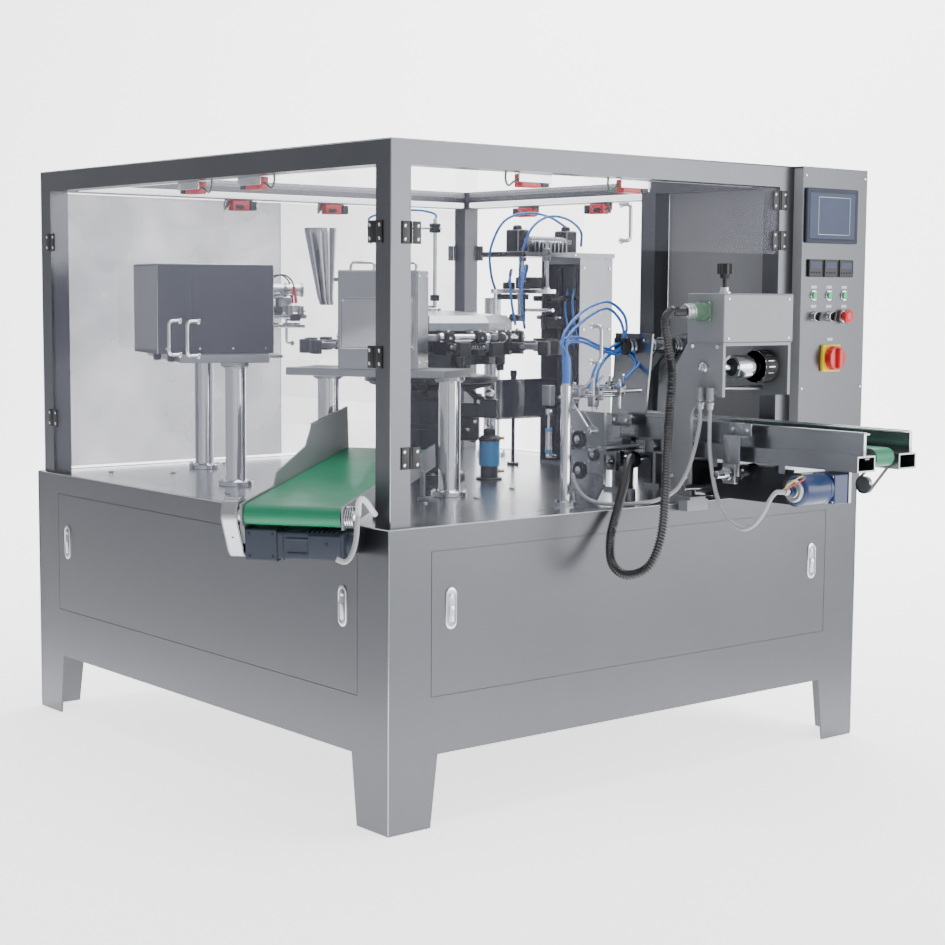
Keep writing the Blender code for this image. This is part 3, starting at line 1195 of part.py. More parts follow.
make_base()
make_panels()
make_deck()
make_frame()
make_doors()
make_cabinet()
make_controls()
make_turret()
make_cylinder()
make_sealers()
make_funnel()
make_tower()
make_posts()
make_magazine()
make_gantry()
make_discharge()
make_drive()
hose("fat_hose", FAT_ROUTE, FAT_HOSE_R, RUBBER)
hose("left_hose", LEFT_ROUTE, THIN_HOSE_R, GREY_HOSE)
hose("right_hose", RIGHT_ROUTE, THIN_HOSE_R, GREY_HOSE)
centre_machine({"fat_hose", "left_hose", "right_hose"})
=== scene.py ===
# %% [markdown]
# # A rotary pouch packer, dressed for its portrait
#
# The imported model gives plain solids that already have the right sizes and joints. This script adds
# what makes the machine look real: brushed steel, clear doors with hinges, hoses, bolts and wiring.
# Each step first says what a piece is on the real machine, and then why it is made the way it is.

# %% Load the fixed frame
import math

import bpy
import numpy as np
from mathutils import Matrix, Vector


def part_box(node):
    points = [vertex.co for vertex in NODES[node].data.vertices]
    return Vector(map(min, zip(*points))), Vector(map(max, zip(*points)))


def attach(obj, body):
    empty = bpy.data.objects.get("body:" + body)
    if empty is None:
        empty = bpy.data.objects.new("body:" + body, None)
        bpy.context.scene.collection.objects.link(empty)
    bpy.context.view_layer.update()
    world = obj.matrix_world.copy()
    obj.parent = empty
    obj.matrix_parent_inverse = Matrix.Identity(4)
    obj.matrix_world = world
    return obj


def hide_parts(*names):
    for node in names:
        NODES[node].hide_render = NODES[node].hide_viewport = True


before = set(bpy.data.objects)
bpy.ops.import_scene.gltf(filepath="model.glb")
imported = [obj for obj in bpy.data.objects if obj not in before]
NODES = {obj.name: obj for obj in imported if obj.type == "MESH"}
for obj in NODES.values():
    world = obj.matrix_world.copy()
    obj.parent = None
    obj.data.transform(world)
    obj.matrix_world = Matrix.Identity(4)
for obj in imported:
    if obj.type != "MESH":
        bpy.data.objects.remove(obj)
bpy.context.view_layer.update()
CORNER = np.array(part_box("base_cabinet")[0])
BASE_TOP = np.array(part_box("base_cabinet")[1]) - CORNER
MM = 0.001
WIDE, DEEP, DECK = (float(v) / MM for v in BASE_TOP)
TOP = float(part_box("upper_frame")[1].z) / MM
print("base", round(WIDE), "by", round(DEEP), "mm, deck at", round(DECK), "mm, top at", round(TOP), "mm")

# %% [markdown]
# The base's front left corner is a handy zero, because a maker measures from it. Lights and the camera
# are placed in metres from that corner by `at`. The machine's own pieces are written in millimetres
# from the same corner, as on a drawing, and become metres only when their mesh is made.

# %% Measure from the base's corner


def at(x, y, z):
    """A point in metres from the base's front left corner, as a world point: the sum of both."""
    return CORNER + np.array([x, y, z], float)


def box_of(node):
    """The two corners of a CAD node, in millimetres from the base's corner."""
    low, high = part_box(node)
    return (np.array(low) - CORNER) / MM, (np.array(high) - CORNER) / MM


# %% [markdown]
# The camera stands a little above the deck, ahead and to the left, so that two sides show. Its place
# and lens were worked out from the corners of the cabinet, whose sizes are known. It has a slight roll.

# %% Stand the camera
YAW, PITCH, ROLL = (math.radians(a) for a in (39.495, 5.556, 0.385))
forward = np.array([math.cos(PITCH) * math.sin(YAW), math.cos(PITCH) * math.cos(YAW), -math.sin(PITCH)])
level = np.array([math.cos(YAW), -math.sin(YAW), 0.0])
upward = np.cross(level, forward)
right = level * math.cos(ROLL) + upward * math.sin(ROLL)
over = upward * math.cos(ROLL) - level * math.sin(ROLL)
eye = at(-2.6258, -3.4984, 1.3166)
lens = bpy.data.cameras.new("camera")
lens.sensor_width = 36.0
lens.lens = 1845.8 / 945 * 36.0
lens.clip_end = 60.0
camera = bpy.data.objects.new("camera", lens)
bpy.context.scene.collection.objects.link(camera)
turn = np.eye(4)
turn[:3, 0], turn[:3, 1], turn[:3, 2], turn[:3, 3] = right, over, -forward, eye
camera.matrix_world = Matrix(turn.tolist())
bpy.context.scene.camera = camera
print("camera", np.round(eye, 2), "lens", round(lens.lens, 1), "mm")

# %% [markdown]
# Every new piece is a surface on a grid: one count runs round a section and the other along a path.
# numpy works out all its points at once, which keeps a shape down to its formula. A shape is a pair,
# its points in millimetres and its faces, so that it can be moved, repeated and joined before it becomes
# a mesh. A list of shapes may stand wherever one shape may.

# %% Shapes from grids
LEFT, RIGHT, FRONT, BACK, DOWN, UP = (-1, 0, 0), (1, 0, 0), (0, -1, 0), (0, 1, 0), (0, 0, -1), (0, 0, 1)


def skin(grid, caps=True):
    """Points of closed sections, one row each, joined row to row by four-sided faces, with end caps."""
    grid = np.asarray(grid, float)
    rows, cols = grid.shape[:2]
    i, j = np.meshgrid(np.arange(rows - 1), np.arange(cols), indexing="ij")
    k = (j + 1) % cols
    quads = np.stack(
        [i * cols + j, i * cols + k, (i + 1) * cols + k, (i + 1) * cols + j], -1).reshape(-1, 4)
    faces = quads.tolist()
    if caps:
        faces.append(list(range(cols))[::-1])
        faces.append(list(range((rows - 1) * cols, rows * cols)))
    return grid.reshape(-1, 3), faces


def sheet_of(grid):
    """An open sheet from a grid of points, joined by four-sided faces."""
    grid = np.asarray(grid, float)
    rows, cols = grid.shape[:2]
    i, j = np.meshgrid(np.arange(rows - 1), np.arange(cols - 1), indexing="ij")
    quads = np.stack([i * cols + j, i * cols + j + 1, (i + 1) * cols + j + 1, (i + 1) * cols + j], -1)
    return grid.reshape(-1, 3), quads.reshape(-1, 4).tolist()


def joined(*shapes):
    """Several shapes as one: their points in a row, and each face's counts moved on to match."""
    points, faces, start = [], [], 0
    for shape in map(whole, shapes):
        points.append(shape[0])
        faces += [[n + start for n in face] for face in shape[1]]
        start += len(shape[0])
    return np.concatenate(points), faces


def whole(shape):
    """One shape from a shape or a list of them."""
    return joined(*shape) if isinstance(shape, list) else shape


def frame_on(axis):
    """Three square directions as rows, the last one along the given axis."""
    z = np.asarray(axis, float) / np.linalg.norm(axis)
    side = np.array([0.0, 0.0, 1.0]) if abs(z[2]) < 0.9 else np.array([1.0, 0.0, 0.0])
    x = np.cross(side, z)
    x /= np.linalg.norm(x)
    return np.stack([x, np.cross(z, x), z])


def put(shape, place, axis=UP, spin=0.0):
    """A shape drawn round its own +Z, spun about it, then laid along an axis with its zero at a place."""
    c, s = math.cos(spin), math.sin(spin)
    turned_to = np.array([[c, s, 0.0], [-s, c, 0.0], [0.0, 0.0, 1.0]])
    if tuple(axis) != UP:
        turned_to = turned_to @ frame_on(axis)
    points, faces = whole(shape)
    return points @ turned_to + np.asarray(place, float), faces


def turned(profile, sides=32, place=(0, 0, 0), axis=UP):
    """A turned solid: each (radius, height) pair of its profile is carried round a circle."""
    radius, height = np.asarray(profile, float).T
    a = 2 * np.pi * np.arange(sides) / sides
    circle = np.stack([np.cos(a), np.sin(a), np.zeros(sides)], -1)
    grid = radius[:, None, None] * circle + height[:, None, None] * np.array([0.0, 0.0, 1.0])
    return put(skin(grid), place, axis)


def rod(start, end, radius, sides=20, edge=0.6):
    """A round bar between two points, with a small chamfer at each end."""
    start, end = np.asarray(start, float), np.asarray(end, float)
    long = float(np.linalg.norm(end - start))
    edge = min(edge, radius * 0.5)
    profile = [(radius - edge, 0), (radius, edge), (radius, long - edge), (radius - edge, long)]
    return turned(profile, sides, start, end - start)


def bar(centre, size, soft=2):
    """A box with rounded edges: a rounded square section, drawn in at both ends by a quarter round."""
    half = np.asarray(size, float) / 2
    soft = min(soft, 0.98 * float(half.min()))
    steps = np.linspace(0, np.pi / 2, 4)
    corner = np.concatenate([steps + q * np.pi / 2 for q in range(4)])
    sign = np.repeat(np.array([[1, 1], [-1, 1], [-1, -1], [1, -1]]), len(steps), axis=0)
    inset = soft * (1 - np.cos(np.concatenate([steps[::-1], steps])))
    rise = soft * np.sin(np.concatenate([-steps[::-1], steps]))
    rise += np.concatenate([np.full(len(steps), -half[2] + soft), np.full(len(steps), half[2] - soft)])
    radius = soft - inset[:, None]
    x = sign[:, 0] * (half[0] - soft) + radius * np.cos(corner)
    y = sign[:, 1] * (half[1] - soft) + radius * np.sin(corner)
    grid = np.stack([x, y, np.broadcast_to(rise[:, None], x.shape)], -1)
    return put(skin(grid), centre)


def span(low, high, soft=2):
    """A box with rounded edges between two corners."""
    low, high = np.asarray(low, float), np.asarray(high, float)
    return bar((low + high) / 2, np.abs(high - low), soft)


def plate(outline, low, high, axis="Z", soft=0.8):
    """A flat plate: its outline carried through its thickness, with a small inset at each face."""
    flat = np.asarray(outline, float)
    middle = flat.mean(0)
    away = flat - middle
    inset = away * (1 - soft / np.maximum(np.linalg.norm(away, axis=1, keepdims=True), 1e-6))
    rings = [(inset, low), (away, low + soft), (away, high - soft), (inset, high)]
    order = {"X": (2, 0, 1), "Y": (0, 2, 1), "Z": (0, 1, 2)}[axis]
    grid = [np.column_stack([ring + middle, np.full(len(flat), depth)])[:, order] for ring, depth in rings]
    return fix_way(skin(grid))


def fix_way(shape):
    """The same shape with its faces turned round if its volume comes out negative."""
    points, faces = shape
    total = 0.0
    for face in faces:
        a = points[face[0]]
        for b, c in zip(face[1:], face[2:]):
            total += float(np.dot(a, np.cross(points[b], points[c])))
    return (points, faces) if total > 0 else (points, [face[::-1] for face in faces])


def smooth_path(route, step):
    """Evenly spaced points on a Catmull-Rom curve through a route's points."""
    p = np.asarray(route, float)
    p = np.concatenate([[2 * p[0] - p[1]], p, [2 * p[-1] - p[-2]]])
    t = (np.arange(16) / 16)[None, :, None]
    a, b, c, d = (p[k:len(p) - 3 + k][:, None, :] for k in range(4))
    fine = 0.5 * (2 * b + (c - a) * t + (2 * a - 5 * b + 4 * c - d) * t**2 + (3 * b - a - 3 * c + d) * t**3)
    fine = np.concatenate([fine.reshape(-1, 3), p[-2][None]])
    along = np.concatenate([[0], np.cumsum(np.linalg.norm(np.diff(fine, axis=0), axis=1))])
    read = np.linspace(0, along[-1], max(3, int(round(along[-1] / step)) + 1))
    return np.stack([np.interp(read, along, fine[:, n]) for n in range(3)], -1)


def length_of(path):
    """The sum of the steps along a path."""
    return float(np.linalg.norm(np.diff(path, axis=0), axis=1).sum())


def carried(path, radius, sides=16):
    """A tube: a circle carried along a path, with the radius given for each point. The circle's side
    direction is the last one less its part along the path, so that it never twists."""
    path = np.asarray(path, float)
    radius = np.broadcast_to(np.asarray(radius, float), (len(path),))
    along = np.gradient(path, axis=0)
    along /= np.linalg.norm(along, axis=1, keepdims=True)
    side = frame_on(along[0])[0]
    sides_at = []
    for way in along:
        side = side - way * float(np.dot(side, way))
        side = side / np.linalg.norm(side)
        sides_at.append(side)
    u = np.array(sides_at)
    v = np.cross(along, u)
    a = 2 * np.pi * np.arange(sides) / sides
    ring = u[:, None] * np.cos(a)[None, :, None] + v[:, None] * np.sin(a)[None, :, None]
    return skin(path[:, None] + radius[:, None, None] * ring)


def tube(route, radius, step=6, sides=10):
    """A smooth round tube through a route's points."""
    return carried(smooth_path(route, step), radius, sides)


def ridged(route, radius, pitch, depth, sides=20):
    """A corrugated hose: a tube whose radius rises and falls with each pitch along it."""
    path = smooth_path(route, pitch / 4)
    wave = np.tile([0.0, 1.0, 1.0, 0.0], len(path) // 4 + 1)[:len(path)]
    return path, carried(path, radius - depth * (1 - wave), sides)


def screw(radius, height, place=(0, 0, 0), axis=UP):
    """A screw's head: a drum with a chamfered rim and a flat top."""
    profile = [(radius, 0), (radius, height * 0.8), (radius * 0.9, height), (radius * 0.55, height)]
    return turned(profile, 16, place, axis)


def hexagon(radius, height, place=(0, 0, 0), axis=UP):
    """A hexagon nut or bolt head, with its top corners cut down."""
    return turned([(radius, 0), (radius, height * 0.8), (radius * 0.88, height)], 6, place, axis)


def on_circle(shape, middle, radius, count, start=0.0):
    """Copies of a shape at even steps round a level circle."""
    a = start + 2 * np.pi * np.arange(count) / count
    return joined(*[
        put(shape, (middle[0] + radius * math.cos(t), middle[1] + radius * math.sin(t), middle[2]), spin=t)
        for t in a])


# %% Make a mesh piece that rides on a body


def piece(name, shape, finish, body="machine", nodes=(), sharp=35):
    """Turns a shape in millimetres from the base's corner into an object with a finish, on a CAD body."""
    points, faces = whole(shape)
    mesh = bpy.data.meshes.new(name)
    mesh.from_pydata((points * MM + CORNER).tolist(), [], faces)
    mesh.validate()
    mesh.shade_smooth()
    mesh.set_sharp_from_angle(angle=math.radians(sharp))
    mesh.materials.append(finish)
    made = bpy.data.objects.new(name, mesh)
    bpy.context.scene.collection.objects.link(made)
    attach(made, body)
    if nodes:
        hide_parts(*nodes)
    return made

# %% [markdown]
# A finish is a few lines of arithmetic on a surface's own coordinates. The small class below wraps a
# socket, so that `1 - mask * 0.5` adds the Math nodes by itself, and one method makes any other node.

# %% Shader sums as plain sums


class Shade:
    """A number on a material's node tree, which can be added, multiplied and so on."""

    def __init__(self, tree, socket):
        self.tree, self.socket = tree, socket

    def sum_with(self, kind, first, second):
        node = self.tree.nodes.new("ShaderNodeMath")
        node.operation = kind
        for socket, value in zip(node.inputs, (first, second)):
            if isinstance(value, Shade):
                self.tree.links.new(value.socket, socket)
            else:
                socket.default_value = value
        return Shade(self.tree, node.outputs[0])

    def __add__(self, other):
        return self.sum_with("ADD", self, other)

    __radd__ = __add__

    def __mul__(self, other):
        return self.sum_with("MULTIPLY", self, other)

    __rmul__ = __mul__

    def __sub__(self, other):
        return self.sum_with("SUBTRACT", self, other)

    def __rsub__(self, other):
        return self.sum_with("SUBTRACT", other, self)

    def __gt__(self, other):
        return self.sum_with("GREATER_THAN", self, other)


class Finish:
    """A material on its own Principled shader, with helpers for the nodes that vary it."""

    def __init__(self, name, **sockets):
        self.material = bpy.data.materials.new(name)
        self.material.use_nodes = True
        self.tree = self.material.node_tree
        self.shader = self.tree.nodes["Principled BSDF"]
        self.set(**sockets)

    def set(self, **sockets):
        """Gives each named socket a number, a colour or a link."""
        for name, value in sockets.items():
            self.feed(self.shader.inputs[name.replace("_", " ")], value)
        return self

    def feed(self, socket, value):
        if isinstance(value, Shade):
            self.tree.links.new(value.socket, socket)
        elif isinstance(value, tuple) and len(value) == 3 and len(socket.default_value) == 4:
            socket.default_value = (*value, 1.0)
        else:
            socket.default_value = value

    def node(self, kind, out=0, settings=(), **sockets):
        """Any node by its type: its settings first, then the values or links of its sockets."""
        made = self.tree.nodes.new("ShaderNode" + kind)
        for name, value in dict(settings).items():
            setattr(made, name, value)
        for name, value in sockets.items():
            self.feed(made.inputs[name.replace("_", " ")], value)
        return Shade(self.tree, made.outputs[out])

    def place(self, stretch=(1.0, 1.0, 1.0)):
        """The surface's own coordinates in metres, stretched along each axis."""
        read = self.node("TexCoord", out="Object")
        return self.node("Mapping", Vector=read, Scale=stretch)

    def noise(self, scale, stretch=(1.0, 1.0, 1.0), detail=4.0):
        """Soft random variation from 0 to 1, of a size set by the scale per metre."""
        return self.node("TexNoise", Vector=self.place(stretch), Scale=scale, Detail=detail)

    def ramp(self, value, low, high, dark=0.0, light=1.0):
        """The value read between two limits and spread over a new range."""
        made = self.node("MapRange", Value=value)
        inputs = made.socket.node.inputs
        for name, number in (("From Min", low), ("From Max", high), ("To Min", dark), ("To Max", light)):
            inputs[name].default_value = number
        return made

    def mix(self, mask, first, second):
        """One colour where the mask is 0 and the other where it is 1."""
        node = self.tree.nodes.new("ShaderNodeMix")
        node.data_type = "RGBA"
        for socket, value in zip((node.inputs[0], node.inputs[6], node.inputs[7]), (mask, first, second)):
            self.feed(socket, value)
        return Shade(self.tree, node.outputs[2])

    def bump(self, height, depth, strength=1.0):
        """A bumped normal from a height that runs from 0 to 1, with the depth in metres."""
        return self.node("Bump", Strength=strength, Distance=depth, Height=height)


def metal(name, colour, roughness, grain=(1.0, 1.0, 1.0), streak=0.06, depth=0.00004, metallic=1.0):
    """Rolled or machined metal: fine streaks along the grain, and a slow drift in tone and gloss."""
    made = Finish(name, Metallic=metallic)
    fine = made.noise(900.0, grain, 3.0)
    slow = made.noise(3.0, detail=3.0)
    tone = made.ramp(fine * 0.6 + slow * 0.4, 0.3, 0.7)
    dark = tuple(c * (1 - streak) for c in colour)
    light = tuple(min(1.0, c * (1 + streak)) for c in colour)
    made.set(Base_Color=made.mix(tone, dark, light))
    made.set(Roughness=made.ramp(fine * 0.5 + slow * 0.5, 0.3, 0.7, roughness * 0.88, roughness * 1.12))
    made.set(Normal=made.bump(fine, depth, 0.35))
    return made.material


def plastic(name, colour, roughness, grain=1800.0, depth=0.00003, drift=0.08, coat=0.0, shine=0.5):
    """Moulded plastic, rubber or paint: a fine skin texture, and a slight drift in its tone."""
    made = Finish(name, Coat_Weight=coat, Specular_IOR_Level=shine)
    fine = made.noise(grain, detail=2.0)
    slow = made.noise(9.0, detail=3.0)
    dark = tuple(c * (1 - drift) for c in colour)
    light = tuple(min(1.0, c * (1 + drift)) for c in colour)
    made.set(Base_Color=made.mix(made.ramp(slow, 0.3, 0.7), dark, light))
    made.set(Roughness=made.ramp(slow * 0.6 + fine * 0.4, 0.3, 0.7, roughness * 0.9, roughness * 1.12))
    made.set(Normal=made.bump(fine, depth, 0.5))
    return made.material


# %% [markdown]
# The cabinet is satin stainless sheet. Its hairline grain runs level along each side, so a noise
# stretched fifty to one along the sheet gives fine streaks, which also blur its reflections sideways.

# %% The machine's finishes
SATIN = metal("satin stainless", (0.138, 0.142, 0.153), 0.32, (0.02, 0.02, 1.0), 0.05)
FRAME_STEEL = metal("frame stainless", (0.15, 0.154, 0.165), 0.32, (1.0, 1.0, 0.05), 0.03)
BRIGHT = metal("bright sheet", (0.4, 0.41, 0.43), 0.24, (0.02, 0.02, 1.0), 0.05)
MILLED = metal("milled plate", (0.34, 0.35, 0.37), 0.3, (0.03, 0.4, 0.4), 0.08)
DECK_STEEL = metal("deck sheet", (0.46, 0.47, 0.5), 0.24, (0.02, 1.0, 1.0), 0.06)
DARK_METAL = metal("blackened steel", (0.055, 0.056, 0.062), 0.34, (1.0, 1.0, 1.0), 0.15)
CHROME = metal("chrome", (0.78, 0.79, 0.82), 0.09, (1.0, 1.0, 0.05), 0.03)
POLISHED = metal("polished sheet", (0.58, 0.59, 0.61), 0.16, (0.05, 0.05, 1.0), 0.04)
CAST = metal("cast aluminium", (0.5, 0.51, 0.53), 0.42, (1.0, 1.0, 1.0), 0.08, 0.0002)
BRASS = metal("brass", (0.62, 0.44, 0.17), 0.25)
BLACK = plastic("black moulding", (0.014, 0.014, 0.016), 0.38)
RUBBER = plastic("black rubber", (0.012, 0.012, 0.013), 0.5, 900.0, 0.00008)
NAVY = plastic("navy enamel", (0.01, 0.03, 0.105), 0.34, coat=0.25)
SKY = plastic("blue enamel", (0.025, 0.27, 0.62), 0.24, coat=0.5)
RED = plastic("red moulding", (0.6, 0.012, 0.016), 0.3, coat=0.3)
YELLOW = plastic("yellow plate", (0.86, 0.62, 0.02), 0.35)
GREEN = plastic("green lens", (0.01, 0.36, 0.12), 0.22, coat=0.5)
SAGE = plastic("sage connector", (0.1, 0.19, 0.12), 0.38)
CONDUIT = plastic("black conduit", (0.011, 0.011, 0.013), 0.24, coat=0.3)
SLATE = plastic("slate moulding", (0.042, 0.05, 0.07), 0.5, shine=0.25)
GREY_HOSE = plastic("grey hose", (0.36, 0.37, 0.38), 0.34)
BLUE_TUBE = plastic("blue air tube", (0.02, 0.15, 0.56), 0.2, coat=0.4)
WHITE = plastic("white moulding", (0.72, 0.72, 0.71), 0.4)


def clear_sheet(name, tint, cover):
    """Clear acrylic: a faint tint that thickens and shines at a glancing view."""
    made = Finish(name, Base_Color=tint, Roughness=0.03, IOR=1.49)
    rim = made.node("LayerWeight", out="Fresnel", Blend=0.25)
    haze = made.noise(4.0, detail=2.0)
    made.set(Alpha=rim * 0.14 + made.ramp(haze, 0.3, 0.7, cover * 0.85, cover * 1.15))
    return made.material


ACRYLIC = clear_sheet("clear acrylic", (0.5, 0.5, 0.62), 0.016)
# The rear doors are the same clear acrylic as the near ones; these two greyer, cloudier copies paint the
# reflections seen on them.
FAR_ACRYLIC = clear_sheet("tinted acrylic", (0.27, 0.28, 0.34), 0.52)
PALE_REFLECTION_ACRYLIC = clear_sheet("misty acrylic", (0.45, 0.46, 0.52), 0.26)
SIDE_ACRYLIC = clear_sheet("pale acrylic", (0.8, 0.8, 0.84), 0.06)
SMOKED = clear_sheet("smoked acrylic", (0.03, 0.035, 0.05), 0.8)


def belt_finish():
    """Smooth green belting: glossy, a little scuffed, with a faint woven backing showing through."""
    made = Finish("green belt", Coat_Weight=0.06)
    scuff = made.noise(22.0, (1.0, 1.0, 1.0), 5.0)
    weave = made.noise(700.0, detail=1.0)
    made.set(Base_Color=made.mix(made.ramp(scuff, 0.3, 0.75), (0.006, 0.185, 0.088), (0.008, 0.205, 0.1)))
    made.set(Roughness=made.ramp(scuff, 0.3, 0.7, 0.4, 0.47), Normal=made.bump(weave, 0.00005, 0.4))
    return made.material


BELT = belt_finish()


def lamp_finish(name, colour, strength):
    """A lit strip: the tube's glow through a white cover."""
    made = Finish(name, Base_Color=(0.8, 0.8, 0.8), Roughness=0.4, Emission_Color=colour)
    made.shader.inputs["Emission Strength"].default_value = strength
    drift = made.noise(30.0)
    made.set(Roughness=made.ramp(drift, 0.3, 0.7, 0.35, 0.45))
    return made.material


STRIP = lamp_finish("light strip", (0.95, 0.97, 1.0), 1.6)
DISPLAY = plastic("display glass", (0.055, 0.072, 0.125), 0.3, shine=0.2)
COVER_STEEL = metal("cover sheet", (0.27, 0.276, 0.29), 0.45, (0.02, 0.02, 1.0), 0.05, metallic=0.45)
# The cabinet's left side is satin stainless like its front; this diffuse grey paints the even sheen seen on
# it.
INNER_STEEL = plastic("cabinet flank", (0.29, 0.294, 0.306), 0.5, drift=0.05)
# A darker copy of the stainless sheet for the sealer cover: its colour paints the shade that falls on that
# cover.
SHADED_STEEL = metal("sealer sheet", (0.095, 0.099, 0.112), 0.4, (0.02, 0.02, 1.0), 0.06)
print("finishes", len(bpy.data.materials))

# %% [markdown]
# The picture has a white room and soft light. The front gets a wide light from the right, and the left
# side faces a dimmer room, which is why it looks two steps darker.

# %% Floor, backdrop and lights


def ground():
    """A pale floor that runs up into a wall behind the machine: a line, a quarter circle, a line."""
    a = np.linspace(0, math.pi / 2, 9)
    wide, reach, bend = 14.0, 7.5, 1.5
    run = np.concatenate([[-9.0], reach - bend + bend * np.sin(a), [reach]])
    rise = np.concatenate([[0.0], bend * (1 - np.cos(a)), [7.0]])
    across = np.array([-wide, wide])
    side, ahead = level, np.array([forward[0], forward[1], 0.0])
    ahead = ahead / np.linalg.norm(ahead)
    middle = at(WIDE * MM / 2, DEEP * MM / 2, 0)
    grid = (middle + run[:, None, None] * ahead + across[None, :, None] * side
            + rise[:, None, None] * np.array([0.0, 0.0, 1.0]))
    return sheet_of(grid - CORNER)


paper = Finish("floor paper", Roughness=0.9, Emission_Strength=1.9)
ahead_of_eye = np.array([forward[0], forward[1], 0.0]) / math.hypot(forward[0], forward[1])


def along(direction):
    """How far the paper reaches from the camera along a level direction: (p - eye) . direction."""
    flat = np.array([direction[0], direction[1], 0.0])
    spot = paper.node("TexCoord", out="Object")
    reach = paper.node("VectorMath", out="Value", settings={"operation": "DOT_PRODUCT"}, Vector=spot)
    reach.socket.node.inputs[1].default_value = tuple(flat)
    return reach - float(np.dot(eye, flat))


aside = along(level).sum_with("DIVIDE", along(level), along(ahead_of_eye))
glow = paper.ramp(aside.sum_with("ABSOLUTE", aside, 0.0), 0.27, 0.42, 1.0, 0.0)
paper.set(Emission_Color=paper.mix(glow, (0.02, 0.02, 0.02), (1.0, 1.0, 1.0)))
paper.set(Base_Color=paper.mix(paper.noise(2.0), (0.9, 0.9, 0.9), (0.93, 0.93, 0.93)))
floor_points, floor_faces = ground()
floor_mesh = bpy.data.meshes.new("floor")
floor_mesh.from_pydata((floor_points + CORNER).tolist(), [], floor_faces)
floor_mesh.shade_smooth()
floor_mesh.materials.append(paper.material)
floor = bpy.data.objects.new("floor", floor_mesh)
bpy.context.scene.collection.objects.link(floor)


def softbox(name, place, target, size, power):
    """A square area light at a place, turned to face a target."""
    lamp = bpy.data.lights.new(name, "AREA")
    lamp.shape = "RECTANGLE"
    lamp.size, lamp.size_y = size
    lamp.energy = power
    made = bpy.data.objects.new(name, lamp)
    away = np.asarray(place, float) - np.asarray(target, float)
    rows = frame_on(away)
    matrix = np.eye(4)
    matrix[:3, :3] = rows.T
    matrix[:3, 3] = at(*place)
    made.matrix_world = Matrix(matrix.tolist())
    bpy.context.scene.collection.objects.link(made)
    return made


softbox("front light", (3.7, -3.7, 1.5), (0.9, 0.3, 0.9), (3.6, 2.6), 125)
softbox("top light", (1.2, 0.4, 5.0), (0.9, 0.9, 0.8), (3.6, 3.6), 210)
softbox("wall light", (5.0, 2.6, 5.5), (6.2, 6.0, 1.5), (6.0, 3.0), 600)


def room_light():
    """An even room, dimmed towards the left and back, where only a dark wing of the studio stands."""
    world = bpy.data.worlds.new("room")
    world.use_nodes = True
    tree = world.node_tree
    read = tree.nodes.new("ShaderNodeTexCoord")
    dot = tree.nodes.new("ShaderNodeVectorMath")
    dot.operation = "DOT_PRODUCT"
    dot.inputs[1].default_value = (-0.72, 0.66, 0.1)
    ramp = tree.nodes.new("ShaderNodeMapRange")
    ramp.inputs["From Min"].default_value = -0.25
    ramp.inputs["From Max"].default_value = 0.55
    ramp.inputs["To Min"].default_value = 0.95
    ramp.inputs["To Max"].default_value = 0.5
    tree.links.new(read.outputs["Generated"], dot.inputs[0])
    tree.links.new(dot.outputs["Value"], ramp.inputs["Value"])
    back = tree.nodes["Background"]
    back.inputs["Color"].default_value = (0.93, 0.95, 1.0, 1.0)
    tree.links.new(ramp.outputs["Result"], back.inputs["Strength"])
    return world


bpy.context.scene.world = room_light()
print("lights", len(bpy.data.lights))

# %% [markdown]
# Three hoses hang outside the machine or cross a gap. Each follows the route of its solid. The thick one is
# a corrugated black conduit, and the thin ones are grey corrugated conduits.

# %% The free hoses
CONDUIT_R, WIRE_R = 12.5, 6
FAT_ROUTE = (
    (932.7, -60, 1272), (902, -60, 1272), (882, -60, 1272), (852, -70, 1247),
    (842, -90, 1190), (838, -110, 1110), (812, -130, 1020), (775, -160, 915),
    (740, -190, 800), (712, -205, 700), (690, -185, 625), (668, -130, 598),
    (668, -74, 622), (694, -40, 686), (742, -18, 762), (795, 14, 822),
    (858, 68, 862), (930, 132, 868), (975, 178, 856), (985, 190, 832),
    (985, 190, 804), (985, 190, 775.5),
)
LEFT_ROUTE = (
    (1000, -60, 1028), (1000, -60, 996), (1000, -60, 970), (990, -53, 905),
    (970, -44, 840), (942, -28, 790), (900, 0, 764), (850, 18, 757.5),
    (806, 32, 756.5), (770, 62, 757.5), (752, 102, 764), (752, 142, 782),
    (764, 178, 806), (780, 203, 822), (790, 215, 818), (790, 215, 798),
    (790, 215, 775.5),
)
RIGHT_ROUTE = (
    (1000, -96, 1028), (1000, -96, 996), (1000, -96, 970), (990, -108, 900),
    (980, -132, 825), (966, -170, 764), (946, -228, 726), (918, -296, 716),
    (888, -360, 734), (864, -412, 770), (852, -444, 808), (866, -450, 826),
    (888, -450, 826), (915, -450, 826),
)


def free_hose(name, route, radius, pitch, depth, finish):
    """A ridged hose on its route, which takes the place of its solid."""
    path, shape = ridged(route, radius, pitch, depth)
    made = piece(name + "_ridges", shape, finish, nodes=(name,), sharp=60)
    path = path * MM
    tuple(at(*path[0]))
    length_of(path)
    (path + CORNER).tolist()
    print(name, round(length_of(path), 3), "m")


free_hose("fat_hose", FAT_ROUTE, CONDUIT_R, 7.8, 3.4, CONDUIT)
free_hose("left_hose", LEFT_ROUTE, WIRE_R, 4.6, 1.4, GREY_HOSE)
free_hose("right_hose", RIGHT_ROUTE, WIRE_R, 4.6, 1.4, GREY_HOSE)

# %% [markdown]
# Most solids of the model already have the right shape, so they stay and take a finish. The dictionary
# names each finish once, with the solids that wear it.

